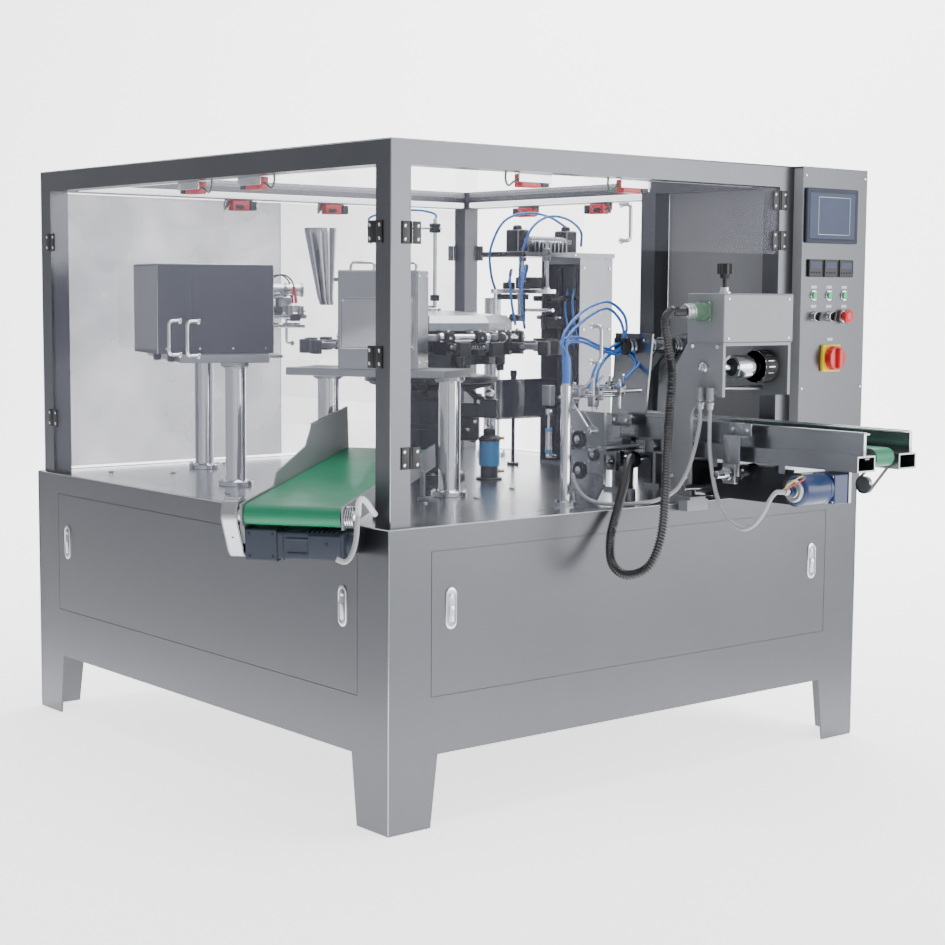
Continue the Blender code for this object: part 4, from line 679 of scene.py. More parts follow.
# %% Finish the solids
WEARS = {
    SATIN: "base_cabinet front_panel rear_panel electric_cabinet left_panel right_panel turret_lid".split(),
    FRAME_STEEL: "upper_frame".split(),
    BRIGHT: "cooler_cover funnel magazine_frame".split(),
    COVER_STEEL: "feed_cover feed_gantry discharge_frame".split(),
    # the sealer cover wears the darker copy of the steel, which is painted shade
    SHADED_STEEL: "sealer_cover".split(),
    DECK_STEEL: "deck_plate".split(),
    MILLED: "sealer_stand cooler_stand opening_tower suction_arm".split(),
    DARK_METAL: "turret_column turret_table screen_post main_drive".split(),
    CHROME: ("front_left_handle front_right_handle left_near_handle left_far_handle funnel_post hose_post "
             "belt_pulley feed_roller discharge_roller opening_head").split(),
    ACRYLIC: "roof_panel front_left_door front_right_door left_near_door left_far_door".split(),
    BELT: "magazine_belt discharge_belt".split(),
    NAVY: "feed_motor".split(),
    SLATE: "touch_screen discharge_motor".split(),
    SKY: "air_cylinder".split(),
    RED: "main_switch emergency_stop".split(),
    GREEN: "left_button middle_button right_button".split(),
    BLACK: "left_selector middle_selector height_knob".split(),
}
for finish, names in WEARS.items():
    for name in names:
        NODES[name].data.materials.clear()
        NODES[name].data.materials.append(finish)
        NODES[name].data.shade_smooth()
        NODES[name].data.set_sharp_from_angle(angle=math.radians(32))
print("finished", sum(len(names) for names in WEARS.values()), "solids")

# %% [markdown]
# The enclosure is a frame of square tube with clear doors. Each door hangs on black two-leaf hinges: one
# leaf is screwed to the post and the other to the sheet. So each hinge is two pieces on two bodies.

# %% Door hinges
FRONT_FACE, LEFT_FACE = box_of("front_left_door")[0][1], box_of("left_near_door")[0][0]
REAR_FACE, RIGHT_FACE = DEEP - FRONT_FACE, WIDE - LEFT_FACE
HINGE_OUT, LEAF_W, LEAF_H, LEAF_T = 0, 24, 54, 3
DOORS = {
    "front_left_door": ("Y", FRONT_FACE, -1, 76.3, 1, (1459, 919)),
    "front_right_door": ("Y", FRONT_FACE, -1, 1389.4, -1, (1583, 1470)),
    "left_near_door": ("X", LEFT_FACE, -1, 76.3, 1, (1461, 1162)),
    "left_far_door": ("X", LEFT_FACE, -1, 1760.7, -1, (1463, 921)),
    "rear_left_door": ("Y", REAR_FACE, 1, 76.3, 1, (1461, 921)),
    "rear_right_door": ("Y", REAR_FACE, 1, 1665.7, -1, (1461, 921)),
    "right_near_door": ("X", RIGHT_FACE, 1, 570.6, 1, (1461, 921)),
    "right_far_door": ("X", RIGHT_FACE, 1, 1760.7, -1, (1461, 921)),
}


def on_face(axis, face, out, across, off, z):
    """A point beside a wall: so far along it, so far out from its face, and at a height."""
    return (across, face + out * off, z) if axis == "Y" else (face + out * off, across, z)


def sized(axis, across, off, high):
    """A box's size beside a wall: its length along the wall, its depth out from it, and its height."""
    return (across, off, high) if axis == "Y" else (off, across, high)


def leaf(axis, face, out, across, way, z):
    """One hinge leaf with its two countersunk screws, lying on the face and starting beside the pin."""
    middle = across + way * (4.5 + LEAF_W / 2)
    size = sized(axis, LEAF_W, LEAF_T, LEAF_H)
    body = bar(on_face(axis, face, out, middle, LEAF_T / 2 + 0.2, z), size, 1.2)
    head = turned([(4.2, 0), (4.2, 1.2), (3.2, 1.8), (1.6, 0.6)], 16)
    normal = (0, out, 0) if axis == "Y" else (out, 0, 0)
    heads = [
        put(head, on_face(axis, face, out, middle + way * 3, LEAF_T, z + rise), normal)
        for rise in (-16, 16)]
    return body, joined(*heads)


for name, (axis, face, out, pin, way, heights) in DOORS.items():
    fixed, swung, screws, swung_screws = [], [], [], []
    for z in heights:
        post_leaf, post_screws = leaf(axis, face, out, pin, -way, z)
        door_leaf, door_screws = leaf(axis, face, out, pin, way, z)
        fixed += [
            post_leaf,
            rod(
                on_face(axis, face, out, pin, HINGE_OUT, z - LEAF_H / 2),
                on_face(axis, face, out, pin, HINGE_OUT, z + LEAF_H / 2), 3.6)]
        swung.append(door_leaf)
        screws.append(post_screws)
        swung_screws.append(door_screws)
    short = name.replace("_door", "")
    piece(short + "_post_leaves", fixed, BLACK)
    piece(short + "_door_leaves", swung, BLACK, body=name)
    piece(short + "_post_screws", screws, CHROME)
    piece(short + "_door_screws", swung_screws, CHROME, body=name)
print("hinges on", len(DOORS), "doors")

# %% [markdown]
# A door handle is one bar bent twice, so it is a circle carried along a path with two round corners.
# On the hidden doors the solid holds sheet and handle in one, so a clear sheet and a bar replace it.

# %% Door handles and sheets
HANDLE_HALF, HANDLE_STAND, HANDLE_R = 52, 36, 5


def bent_bar(axis, face, out, across, z):
    """A handle: out from the sheet, round a quarter circle, up, round again, and back to the sheet."""
    bend = 12
    a = np.linspace(0, np.pi / 2, 7)
    reach = HANDLE_STAND - bend + bend * np.sin(a)
    rise = -HANDLE_HALF + HANDLE_R + bend * (1 - np.cos(a))
    reach = np.concatenate([[0.3], reach, reach[::-1], [0.3]])
    rise = np.concatenate([[rise[0]], rise, -rise[::-1], [-rise[0]]])
    path = np.array([on_face(axis, face, out, across, r, z + h) for r, h in zip(reach, rise)])
    grip = carried(path, HANDLE_R, 16)
    foot = turned([(8.5, 0), (8.5, 2), (7, 3)], 20)
    normal = (0, out, 0) if axis == "Y" else (out, 0, 0)
    feet = [put(foot, on_face(axis, face, out, across, 0.3, z + h), normal) for h in (rise[0], -rise[0])]
    return [grip, *feet]


GRIPS = {
    "front_left": (669.5, 1187), "front_right": (768.5, 1502), "left_near": (888.5, 1187),
    "left_far": (987.5, 1187), "rear_left": (850.5, 1187), "rear_right": (949.5, 1187),
    "right_near": (1140.5, 1187), "right_far": (1239.5, 1187),
}
for name, (across, z) in GRIPS.items():
    door = name + "_door"
    axis, face, out = DOORS[door][:3]
    grip = bent_bar(axis, face, out, across, z)
    if name.startswith(("front", "left")):
        piece(name + "_grip", grip, CHROME, body=door, nodes=(name + "_handle",), sharp=60)
        continue
    piece(name + "_grip", grip, CHROME, body=door, sharp=60)
    low, high = box_of(door)
    inner = face - out * 8
    if axis == "Y":
        low[1], high[1] = sorted((face, inner))
    else:
        low[0], high[0] = sorted((face, inner))
    # The rear doors get the greyer, cloudier acrylic, which paints the reflections on them.
    sheet_finish = {"rear_left_door": FAR_ACRYLIC, "rear_right_door": PALE_REFLECTION_ACRYLIC}.get(door, SIDE_ACRYLIC)
    piece(door + "_sheet", span(low, high, 0.8), sheet_finish, body=door, nodes=(door,))

# %% [markdown]
# Along the inside of the top tubes run light strips and the door switches. A switch has a red body, a
# black head with a steel key on the door, and a green lead that loops back up to the tube.

# %% Light strips and door switches
TUBE = 60
IN_X, IN_Y = LEFT_FACE + TUBE, FRONT_FACE + TUBE
FAR_X, FAR_Y = RIGHT_FACE - TUBE, REAR_FACE - TUBE
strips = [
    span((IN_X + 30, FAR_Y - 32, TOP - 58), (FAR_X - 30, FAR_Y - 4, TOP - 40), 4),
    span((IN_X + 4, IN_Y + 30, TOP - 58), (IN_X + 32, FAR_Y - 60, TOP - 40), 4),
    span((FAR_X - 32, 620, TOP - 58), (FAR_X - 4, FAR_Y - 60, TOP - 40), 4),
    span((IN_X + 60, IN_Y + 4, TOP - 58), (1370, IN_Y + 32, TOP - 40), 4),
]
piece("light_strips", strips, STRIP)
SWITCHES = (
    ("X", LEFT_FACE + 12, 1, 969), ("X", LEFT_FACE + 12, 1, 659),
    ("Y", FRONT_FACE + 12, 1, 480), ("Y", FRONT_FACE + 12, 1, 835),
    ("Y", REAR_FACE - 12, -1, 710), ("Y", REAR_FACE - 12, -1, 1085),
    ("X", RIGHT_FACE - 12, -1, 1070), ("X", RIGHT_FACE - 12, -1, 1440),
)
reds, blacks, steels, leads = [], [], [], []
for axis, face, out, across in SWITCHES:
    z = TOP - TUBE - 20
    wide = sized(axis, 66, 30, 34)
    head = sized(axis, 26, 30, 30)
    reds.append(bar(on_face(axis, face, out, across, 30, z), wide, 3))
    blacks.append(bar(on_face(axis, face, out, across + 48, 30, z), head, 3))
    blacks.append(bar(on_face(axis, face, out, across - 6, 46.5, z - 4), sized(axis, 30, 4, 14), 1))
    steels.append(bar(on_face(axis, face, out, across + 10, 12, z + 8), sized(axis, 110, 3, 26), 1))
    steels.append(bar(on_face(axis, face, out, across + 66, 26, z - 2), sized(axis, 16, 3, 20), 1))
    leads.append(tube([on_face(axis, face, out, across + step, depth, z + rise) for step, depth, rise in (
        (-33, 30, 0), (-46, 31, -4), (-60, 36, -14), (-64, 42, 4),
        (-58, 46, 26))], 2.8, 4, 8))
piece("switch_bodies", reds, RED)
piece("switch_heads", blacks, BLACK)
piece("switch_plates", steels, CHROME)
piece("switch_leads", leads, SAGE)
print("switches", len(SWITCHES))

# %% [markdown]
# Folded and polished corners catch the light as thin bright lines. A slim round bead laid along each outer
# edge catches light too, and its brighter finish paints the highlight line, with no change to the solids.

# %% Bright edges
EDGE = 1.6
beads = []
for x in (0, WIDE):
    for y in (0, DEEP):
        beads.append(rod((x, y, 4), (x, y, DECK), EDGE, 8))
for y in (0, DEEP):
    beads.append(rod((0, y, DECK), (WIDE, y, DECK), EDGE, 8))
for x in (0, WIDE):
    beads.append(rod((x, 0, DECK), (x, DEEP, DECK), EDGE, 8))
for x, y in ((LEFT_FACE, FRONT_FACE), (LEFT_FACE, REAR_FACE), (RIGHT_FACE, REAR_FACE)):
    beads.append(rod((x, y, DECK + 1), (x, y, TOP - 1), EDGE, 8))
beads.append(rod((LEFT_FACE, FRONT_FACE, TOP - 1.8), (1449, FRONT_FACE, TOP - 1.8), EDGE, 8))
beads.append(rod((LEFT_FACE, FRONT_FACE, TOP - 1.8), (LEFT_FACE, REAR_FACE, TOP - 1.8), EDGE, 8))
piece("edge_beads", beads, BRIGHT, sharp=60)

# %% [markdown]
# Each base panel lifts off by two flush pulls. A pull is an oval chrome rim, a sunk tray, and a spring
# latch in it. The oval is two half circles joined by straight sides, and the rim rises round it.

# %% Flush pulls
PULL_W, PULL_H = 34, 104


def oval(width, height, count=12):
    """A slot's outline round zero: a half circle above, straight sides, and a half circle below."""
    r = width / 2
    a = np.linspace(0, np.pi, count)
    top = np.stack([r * np.cos(a), height / 2 - r + r * np.sin(a)], -1)
    return np.concatenate([top, -top])


def ringed(outline, steps):
    """Rings that grow or shrink from one outline: each step is a share of its size and a height."""
    return skin([
        np.column_stack([outline * grow, np.full(len(outline), height)]) for grow, height in steps])


def face_up(shape, axis, face, out, across, z):
    """A shape drawn flat, with +Y up the wall, stood on a wall so that its own +Z points out."""
    points, faces = whole(shape)
    if axis == "Y":
        stood = np.stack([across - out * points[:, 0], face + out * points[:, 2], z + points[:, 1]], -1)
    else:
        stood = np.stack([face + out * points[:, 2], across + out * points[:, 0], z + points[:, 1]], -1)
    return stood, faces


rim_shape = ringed(oval(PULL_W, PULL_H), [(1.0, 0), (1.0, 2.2), (0.95, 3.4), (0.86, 3.4), (0.82, 1.4)])
tray_shape = ringed(oval(PULL_W * 0.8, PULL_H * 0.92), [(1.0, 1), (1.0, 2), (0.98, 2.3)])
latch_shape = [
    put(bar((0, 0, 0), (14, 40, 3), 1.2), (0, -14, 3.4)),
    turned([(6.2, 0), (6.2, 2), (5, 2.8)], 20, (0, 30, 2.2))]
PANELS = {
    "front_panel": ("Y", 0, -1, (191.5, 1543.5)), "rear_panel": ("Y", DEEP, 1, (191.5, 1543.5)),
    "left_panel": ("X", 0, -1, (188.5, 1644.5)), "right_panel": ("X", WIDE, 1, (188.5, 1644.5)),
}
for name, (axis, face, out, places) in PANELS.items():
    z = sum(box_of(name)[k][2] for k in (0, 1)) / 2 + 35
    for across, side in zip(places, ("low", "high")):
        for part, shape, finish in (
            ("rim", rim_shape, CHROME), ("tray", tray_shape, MILLED), ("latch", latch_shape, CHROME)):
            piece(f"{name}_{side}_{part}", face_up(shape, axis, face, out, across, z), finish, body=name)
print("pulls", 2 * len(PANELS))

# %% [markdown]
# The control panel is a column of round and square fittings. A square fitting is a set of rounded
# rectangles, each with its own width, height, corner and depth, joined one to the next.

# %% Controls on the electric cabinet
CABINET_FRONT, CONTROL_MID = -16, 1574
CONTROL_ROW = (1507, 1574, 1641)
SCREEN_Z, METER_Z, BUTTON_Z, KNOB_Z = 1543, 1394, 1316, 1256
SWITCH_AT = (1583, 1136)


def rounded(width, height, corner, count=5):
    """A rectangle's outline with a quarter circle at each corner, in the flat plane."""
    a = np.linspace(0, np.pi / 2, count)
    angle = np.concatenate([a + q * np.pi / 2 for q in range(4)])
    sign = np.repeat(np.array([[1, 1], [-1, 1], [-1, -1], [1, -1]]), count, axis=0)
    middle = sign * (np.array([width, height]) / 2 - corner)
    return middle + corner * np.stack([np.cos(angle), np.sin(angle)], -1)


def stepped(steps):
    """A square fitting: (width, height, corner, depth) rectangles from the wall outwards."""
    return skin([np.column_stack([rounded(w, h, c), np.full(20, d)]) for w, h, c, d in steps])


def on_cabinet(shape, x, z):
    """A fitting on the cabinet's front."""
    return face_up(shape, "Y", CABINET_FRONT, -1, x, z)


bezel = stepped([
    (224, 154, 5, 0.3), (226, 156, 6, 1), (226, 156, 6, 6.8), (221, 151, 5, 8.8), (206, 138, 4, 8.8),
    (200, 132, 3, 6.8)])
piece(
    "screen_bezel", on_cabinet(bezel, CONTROL_MID, SCREEN_Z), SLATE, nodes=("touch_screen",))
glass = stepped([(198, 130, 2, 6.6), (198, 130, 2, 7.4)])
piece("screen_glass", on_cabinet(glass, CONTROL_MID, SCREEN_Z), DISPLAY)
line = [bar((x, y, 7.6), size, 0.3) for x, y, size in (
    (7, 53, (138, 1.6, 1)), (7, -53, (138, 1.6, 1)),
    (-62, 0, (1.6, 106, 1)), (76, 0, (1.6, 106, 1)))]
piece("screen_frame_line", on_cabinet(line, CONTROL_MID, SCREEN_Z), MILLED)
case = stepped([
    (60.8, 49.8, 2, 0.3), (60.8, 49.8, 2, 6.6), (59, 48, 1.5, 8), (55, 44, 1, 8), (53.6, 42.6, 1, 6.8)])
window = stepped([(47, 16.5, 1, 6.6), (47, 16.5, 1, 7.5)])
key = stepped([(8.2, 5.2, 1, 6.6), (8, 5, 1, 8.2), (7, 4, 1, 8.8)])
cases, windows, keys = [], [], []
for step in (-67, 0, 67):
    cases.append(on_cabinet(case, CONTROL_MID + step, METER_Z))
    windows.append(on_cabinet(window, CONTROL_MID + step, 1402.5))
    keys += [on_cabinet(key, CONTROL_MID + step + side, 1381) for side in (-17.5, -5.8, 5.8, 17.5)]
piece("meter_cases", cases, BLACK)
piece("meter_windows", windows, DISPLAY)
piece("meter_keys", keys, SLATE)
low_ring = turned([(11.8, -4), (11.8, 0.3), (15, 0.3), (15, 2.2), (13.8, 3.6), (11.8, 3.6)], 32)
tall_ring = turned([(15, 0.3), (15, 3), (13.8, 6.2), (12.8, 15), (11.2, 16)], 32)
stop_ring = turned([(15, -5.8), (15, 0.3), (17, 0.3), (17, 3), (15, 4.4), (11.2, 4.6)], 32)
piece("button_rings", [on_cabinet(low_ring, x, BUTTON_Z) for x in CONTROL_ROW], CHROME)
knob = [turned([(10.8, 16), (10.8, 18), (10, 19.6)], 24), bar((0, 0, 22.5), (8.8, 26, 12), 3)]
for name, x, tilt in (("left", CONTROL_ROW[0], 0.35), ("middle", CONTROL_ROW[1], 0.35)):
    body = name + "_selector"
    piece(name + "_selector_ring", on_cabinet(tall_ring, x, KNOB_Z), CHROME)
    piece(
        name + "_selector_knob", on_cabinet(put(knob, (0, 0, 0), spin=-tilt), x, KNOB_Z), BLACK, body=body,
        nodes=(body,))
piece("stop_ring", on_cabinet(stop_ring, CONTROL_ROW[2], KNOB_Z), CHROME)
stop_head = turned(
    [
        (10.8, 1), (10.8, 11), (16.8, 12.2), (20.2, 15.5), (20.6, 19), (19.6, 22.8), (16.5, 25.8),
        (11, 27.4), (4, 28)], 40)
piece("stop_head", on_cabinet(stop_head, CONTROL_ROW[2], KNOB_Z), RED, body="emergency_stop",
      nodes=("emergency_stop",))
cap = turned([(10.8, 1), (10.8, 7.9), (10, 9), (6.2, 9.3)], 32)
for name, x in (("left", CONTROL_ROW[0]), ("middle", CONTROL_ROW[1]), ("right", CONTROL_ROW[2])):
    piece(name + "_button_cap", on_cabinet(cap, x, BUTTON_Z), GREEN, body=name + "_button",
          nodes=(name + "_button",))
label = stepped([(24, 8, 1, 0.2), (24, 8, 1, 0.7)])
rows = [(x, z) for z in (1340, 1285) for x in CONTROL_ROW] + [(1583, 1190)]
piece("bare_labels", [on_cabinet(label, x, z) for x, z in rows], MILLED)

# %% Main switch
shield = stepped([(78, 78, 4, 0.3), (78, 78, 4, 8), (74, 74, 3, 10)])
piece("switch_plate", on_cabinet(shield, *SWITCH_AT), YELLOW)
rotor_a = 2 * np.pi * np.arange(72) / 72
scallop = 1 - 0.035 * (np.cos(12 * rotor_a) > 0.55)
rotor = skin([
    np.column_stack([r * wave * np.cos(rotor_a), r * wave * np.sin(rotor_a), np.full(72, z)])
    for r, wave, z in (
        (30, 1.0, 10.2), (34.5, scallop, 12), (34.5, scallop, 30), (32.2, 1.0, 33), (25, 1.0, 33.6))])
grip = bar((0, 0, 37.5), (16.5, 60, 15), 5)
piece("switch_knob", on_cabinet([rotor, grip], *SWITCH_AT), RED, body="main_switch",
      nodes=("main_switch",))
small = screw(3.2, 2.4)
places = [(x, z) for x in (1462, 1723) for z in (800, 1050, 1655)]
piece("cabinet_screws", [on_cabinet(small, x, z) for x, z in places], CHROME)
print("control fittings", len(rows) + 13)

# %% Cabinet's left side
# A thin skin over the stainless side, in a diffuse grey that paints its sheen.
flank_low, flank_high = box_of("electric_cabinet")
low = (WIDE - 292.6, flank_low[1] + 4, DECK + 12)
high = (WIDE - 292.1, flank_high[1] - 2, flank_high[2] - 6)
piece("cabinet_flank", span(low, high, 0), INNER_STEEL)

# %% [markdown]
# The turret repeats one station eight times. A station is drawn once with X pointing away from the
# turret's axis and Y along the rim, and then spun round the axis by 208 + 45 k degrees.

# %% Turret stations
TURRET_AT = (850, 920)
STATION = [math.radians(208 + 45 * k) for k in range(8)]


def eight(shape, extra=0):
    """A station's shape at all eight stations."""
    return [put(shape, (*TURRET_AT, 0), spin=a + extra) for a in STATION]


def along_y(shape, x, y, z):
    """A shape drawn round +Z, laid along +Y with its zero at a point."""
    return put(shape, (x, y, z), BACK)


GRIP_R, GRIP_Z = 262, 1186
sleeve = turned([(11, 0), (11.6, 0.8), (11.6, 62.2), (11, 63)], 24)
bush = turned([(14, 0), (15, 1), (15, 11), (14, 12)], 24)
piece(
    "gripper_tubes",
    eight([
        along_y(sleeve, GRIP_R, -31.5, GRIP_Z), along_y(bush, GRIP_R, -78.5, GRIP_Z),
        along_y(bush, GRIP_R, 66.5, GRIP_Z)]), CHROME, body="turret")
clamps, bolts, pads, links = [], [], [], []
for side in (-1, 1):
    clamps.append(bar((GRIP_R, side * 50, GRIP_Z), (34, 26, 36), 4))
    clamps.append(bar((238, side * 50, 1168), (30, 20, 26), 3))
    clamps.append(bar((300, side * 50, 1160), (48, 19, 24), 3))
    bolts.append(screw(4.5, 6, (262, side * 50, 1203.8), UP))
    bolts.append(screw(4.5, 6, (238, side * 50, 1180.8), UP))
    bolts.append(screw(4, 5, (279, side * 50, 1186), RIGHT))
    links.append(bar((340, side * 50, 1160.5), (76, 16.6, 18.6), 2))
    links.append(rod((318, side * 36, 1160), (318, side * 64, 1160), 6, 16))
    pads.append(bar((383.5, side * 50, 1156), (29, 35, 41), 2.5))
piece("gripper_clamps", eight(clamps), BLACK, body="turret")
piece("gripper_bolts", eight(bolts), CHROME, body="turret")
piece("gripper_fingers", eight(links), MILLED, body="turret")
piece("gripper_pads", eight(pads), RUBBER, body="turret")
turn = np.linspace(0, 9 * 2 * np.pi, 145)
coil = np.stack([318 + 5.2 * np.cos(turn), np.linspace(-34, 34, 145), 1160 + 5.2 * np.sin(turn)], -1)
piece("gripper_springs", eight(carried(coil, 0.9, 6)), BRIGHT, body="turret", sharp=60)
drum = turned([(12, 1102), (15, 1106), (15, 1136), (12, 1140)], 20)
roller = turned([(10, 1086), (11.5, 1088), (11.5, 1100), (10, 1102)], 20)
hung = [put(drum, (226, 0, 0)), put(roller, (226, 0, 0))]
piece("cam_followers", eight(hung), BLACK, body="turret")
corner = [bar((250, 0, 1186), (22, 46, 20), 4), rod((250, -32, 1186), (250, 32, 1186), 6)]
piece("corner_links", eight(corner, math.radians(22.5)), MILLED, body="turret")
rim_bolt = hexagon(6, 5, (180, 0, 1138))
piece("table_bolts", eight([rim_bolt, hexagon(6, 5, (150, 40, 1138))]), CHROME, body="turret")

# %% Lid of the turret
ends = [math.radians(208 + 22.5 + 45 * k) for k in range(8)]


def octagon(radius, z):
    """The lid's eight corners at one radius and height."""
    return [(TURRET_AT[0] + radius * math.cos(a), TURRET_AT[1] + radius * math.sin(a), z) for a in ends]


lid = skin([
    octagon(r, z)
    for r, z in (
        (242.5, 1205.2), (245, 1206), (245, 1228.6), (244, 1230), (228.6, 1248.6), (227, 1249.8),
        (60, 1262.2))])
piece("lid_skin", lid, BRIGHT, body="turret", nodes=("turret_lid",), sharp=12)
hub = turned([(30, 1262), (30, 1269), (27, 1271), (12, 1271.2)], 40)
nut = hexagon(11, 8, (0, 0, 1270.5))
piece("lid_hub", [put(hub, (*TURRET_AT, 0)), put(nut, (*TURRET_AT, 0))], CHROME, body="turret")

# %% Column, cam ring and linkage under the table
ring_low = turned([(196, 1048), (203, 1050), (203, 1064), (196, 1066)], 64)
cam = put(ring_low, (*TURRET_AT, 0))
piece("cam_ring", cam, DARK_METAL)
legs = []
for k in range(4):
    a = math.radians(40 + 90 * k)
    c, s = math.cos(a), math.sin(a)
    legs.append(
        rod(
            (TURRET_AT[0] + 100 * c, TURRET_AT[1] + 100 * s, 1030),
            (TURRET_AT[0] + 190 * c, TURRET_AT[1] + 190 * s, 1050), 12))
piece("cam_brackets", legs, BLACK)
bands = [
    turned([(71.2, z), (74, z + 1), (74, z + w - 1), (71.2, z + w)], 40)
    for z, w in ((782, 10), (905, 16), (992, 10))]
piece("column_bands", [put(b, (*TURRET_AT, 0)) for b in bands], BLACK)
foot = on_circle(hexagon(8, 6.5), (*TURRET_AT, DECK + 18.5), 90, 8, 0.2)
piece("column_bolts", foot, CHROME)


def tie(start, end, radius, eye=13):
    """A link with a round eye at each end."""
    start, end = np.asarray(start, float), np.asarray(end, float)
    side = np.cross(end - start, (0, 0, 1.0))
    side /= np.linalg.norm(side)
    rings = [rod(p - side * 8, p + side * 8, eye, 20) for p in (start, end)]
    return [rod(start, end, radius), *rings]


away = math.radians(-47)
ahead = np.array([math.cos(away), math.sin(away), 0])
base = np.array([*TURRET_AT, 0])
links = [
    tie(base + ahead * 70 + (0, 0, 1070), base + ahead * 150 + (0, 0, 990), 10, 18),
    tie(base + ahead * 60 + (0, 0, 930), base + ahead * 130 + (0, 0, 880), 9, 16)]
links.append(put(bar((118, 0, 905), (60, 50, 70), 8), (*TURRET_AT, 0), spin=away))
piece("turret_levers", links, BLACK)
half_pin = np.array([ahead[1], -ahead[0], 0]) * 34
pins = [base + ahead * r + (0, 0, z) for r, z in ((70, 1070), (150, 990), (118, 905), (140, 930))]
piece("lever_pins", [rod(pin - half_pin, pin + half_pin, 6) for pin in pins], CHROME)

# %% Air cylinder
AT = (980, 797)
piece(
    "cylinder_foot", turned([(40, 750.6), (40, 755), (38, 757), (27, 757.5), (27, 792.5)], 40, (*AT, 0)),
    BLACK, nodes=("air_cylinder",))
piece(
    "cylinder_barrel", turned([(31, 792.5), (32.2, 794), (32.2, 867), (31, 868.5)], 48, (*AT, 0)), SKY)
piece(
    "cylinder_cap",
    turned(
        [(32.5, 868.5), (33.3, 869.5), (33.3, 876), (25, 885), (19, 886), (19, 903), (17, 905)], 48,
        (*AT, 0)), BLACK)
rod_up = [rod((*AT, 904.5), (*AT, 939), 8.2), hexagon(13, 10, (*AT, 906))]
piece("cylinder_rod", rod_up, CHROME)
eye = [
    turned([(12, -8), (15, -6), (15, 6), (12, 8)], 24, (AT[0], AT[1], 1010), (ahead[1], -ahead[0], 0)),
    rod((AT[0], AT[1], 996.2), (AT[0], AT[1], 1010), 7)]
piece("cylinder_eye", eye, CHROME)
fit = [
    [
        rod((AT[0] + 30, AT[1] - 10, z), (AT[0] + 46, AT[1] - 16, z), 5),
        hexagon(6.6, 5, (AT[0] + 30, AT[1] - 10, z), (0.94, -0.33, 0))] for z in (775, 876)]
piece("cylinder_fittings", fit, BRASS)
print("turret pieces done")

# %% [markdown]
# The stations stand on thick chromed posts with flanges. A post is a turned profile: a flange with a
# rounded rim, a fillet, the tube, and a collar where it meets the plate. Bolts go round each flange.

# %% Posts, flanges and bolts
POST_R, FLANGE_R, FLANGE_H = 30, 50, 14
SEALER_POSTS, SEALER_TOP = ((268, 1104), (468, 1609)), 1110.7
COOLER_POSTS, COOLER_TOP = ((420, 850), (597, 514)), 1084.7
CORNER_POST = (1535, 1446)


def post_skin(x, y, low, high, radius=POST_R, flange=FLANGE_R):
    """A post's skin, a hair outside the solid, with a small fillet above its flange."""
    thick = FLANGE_H
    out = 0.4
    a = np.linspace(0, np.pi / 2, 5)
    fillet = [(radius + out + 6 * (1 - math.sin(t)), low + thick + 6 * (1 - math.cos(t))) for t in a]
    rim = [(flange - 1, low), (flange + out, low + 1), (flange + out, low + thick - 1),
           (flange - 1, low + thick + out)]
    return turned(rim + fillet + [(radius + out, high)], 48, (x, y, 0))


posts = [post_skin(x, y, DECK + 0.5, SEALER_TOP - 12) for x, y in SEALER_POSTS]
posts += [post_skin(x, y, DECK + 0.5, COOLER_TOP - 12) for x, y in COOLER_POSTS]
posts.append(post_skin(*CORNER_POST, DECK + 0.5, 1300, 28))
piece("post_tubes", posts, CHROME)
collars = []
for (x, y), top in [(p, SEALER_TOP) for p in SEALER_POSTS] + [(p, COOLER_TOP) for p in COOLER_POSTS]:
    profile = [(31, top - 12.5), (40.5, top - 12.5), (42.4, top - 10.5), (42.4, top - 0.3)]
    collars.append(turned(profile, 48, (x, y, 0)))
    collars.append(on_circle(screw(3.2, 4, (0, 0, 0), DOWN), (x, y, top - 12.5), 36.8, 6))
piece("post_collars", collars, BRIGHT, sharp=40)
bolts = []
for x, y in (*SEALER_POSTS, *COOLER_POSTS, CORNER_POST):
    bolts.append(on_circle(hexagon(5.6, 5), (x, y, DECK + FLANGE_H + 0.8), 42.5, 6, 0.4))
    bolts.append(on_circle(turned([(7.8, 0), (7.8, 1)], 16), (x, y, DECK + FLANGE_H + 0.4), 42.5, 6, 0.4))
for x, y in ((705, 150), (1350, 1116), (1030, 1350)):
    reach = {705: 26, 1350: 15.5, 1030: 34}[x]
    low = {705: 10.4, 1350: 8.4, 1030: 14.6}[x]
    bolts.append(on_circle(hexagon(3.6, 3.4), (x, y, DECK + low), reach, 4, 0.6))
piece("flange_bolts", bolts, CHROME, sharp=40)
plug = turned([(9, DECK + 0.2), (9, DECK + 3), (7, DECK + 4.4), (3, DECK + 4.6)], 20)
spots = [
    (130, 930), (200, 780), (550, 1020), (620, 420), (420, 400), (920, 320), (300, 1520), (1120, 1300),
    (600, 1700), (1200, 620), (160, 1660), (860, 550)]
piece("deck_plugs", [put(plug, (x, y, 0)) for x, y in spots], BRIGHT)

# %% [markdown]
# Each station plate carries its cover on short square feet, and two brackets run down from it. The
# covers are folded sheet: a seam runs up each corner and small screws hold the lower edge.

# %% Station plates and covers
SEAL_TURN, SEAL_AT = math.radians(165), (264, 1275)
COOL_TURN = math.radians(217)


def seal_frame(shape):
    """A shape drawn round the sealer cover's middle, with X along its length."""
    return put(shape, (*SEAL_AT, 0), spin=SEAL_TURN)


def cool_frame(shape):
    """A shape drawn from the turret's axis, with X pointing out through the cooler."""
    return put(shape, (*TURRET_AT, 0), spin=COOL_TURN)


handles = []
for y in (-62, 58):
    z = 1377.5
    path = [(512, y - 34, z), (512, y - 34, z + 14), (512, y - 28, z + 21),
            (512, y + 28, z + 21), (512, y + 34, z + 14), (512, y + 34, z)]
    handles.append(cool_frame(carried(np.array(path), 4.2, 12)))
    handles += [
        cool_frame(turned([(7.8, 0), (7.8, 1.6), (6.2, 2.4)], 20, (512, y + s, z))) for s in (-34, 34)]
piece("cooler_handles", handles, CHROME, sharp=60)


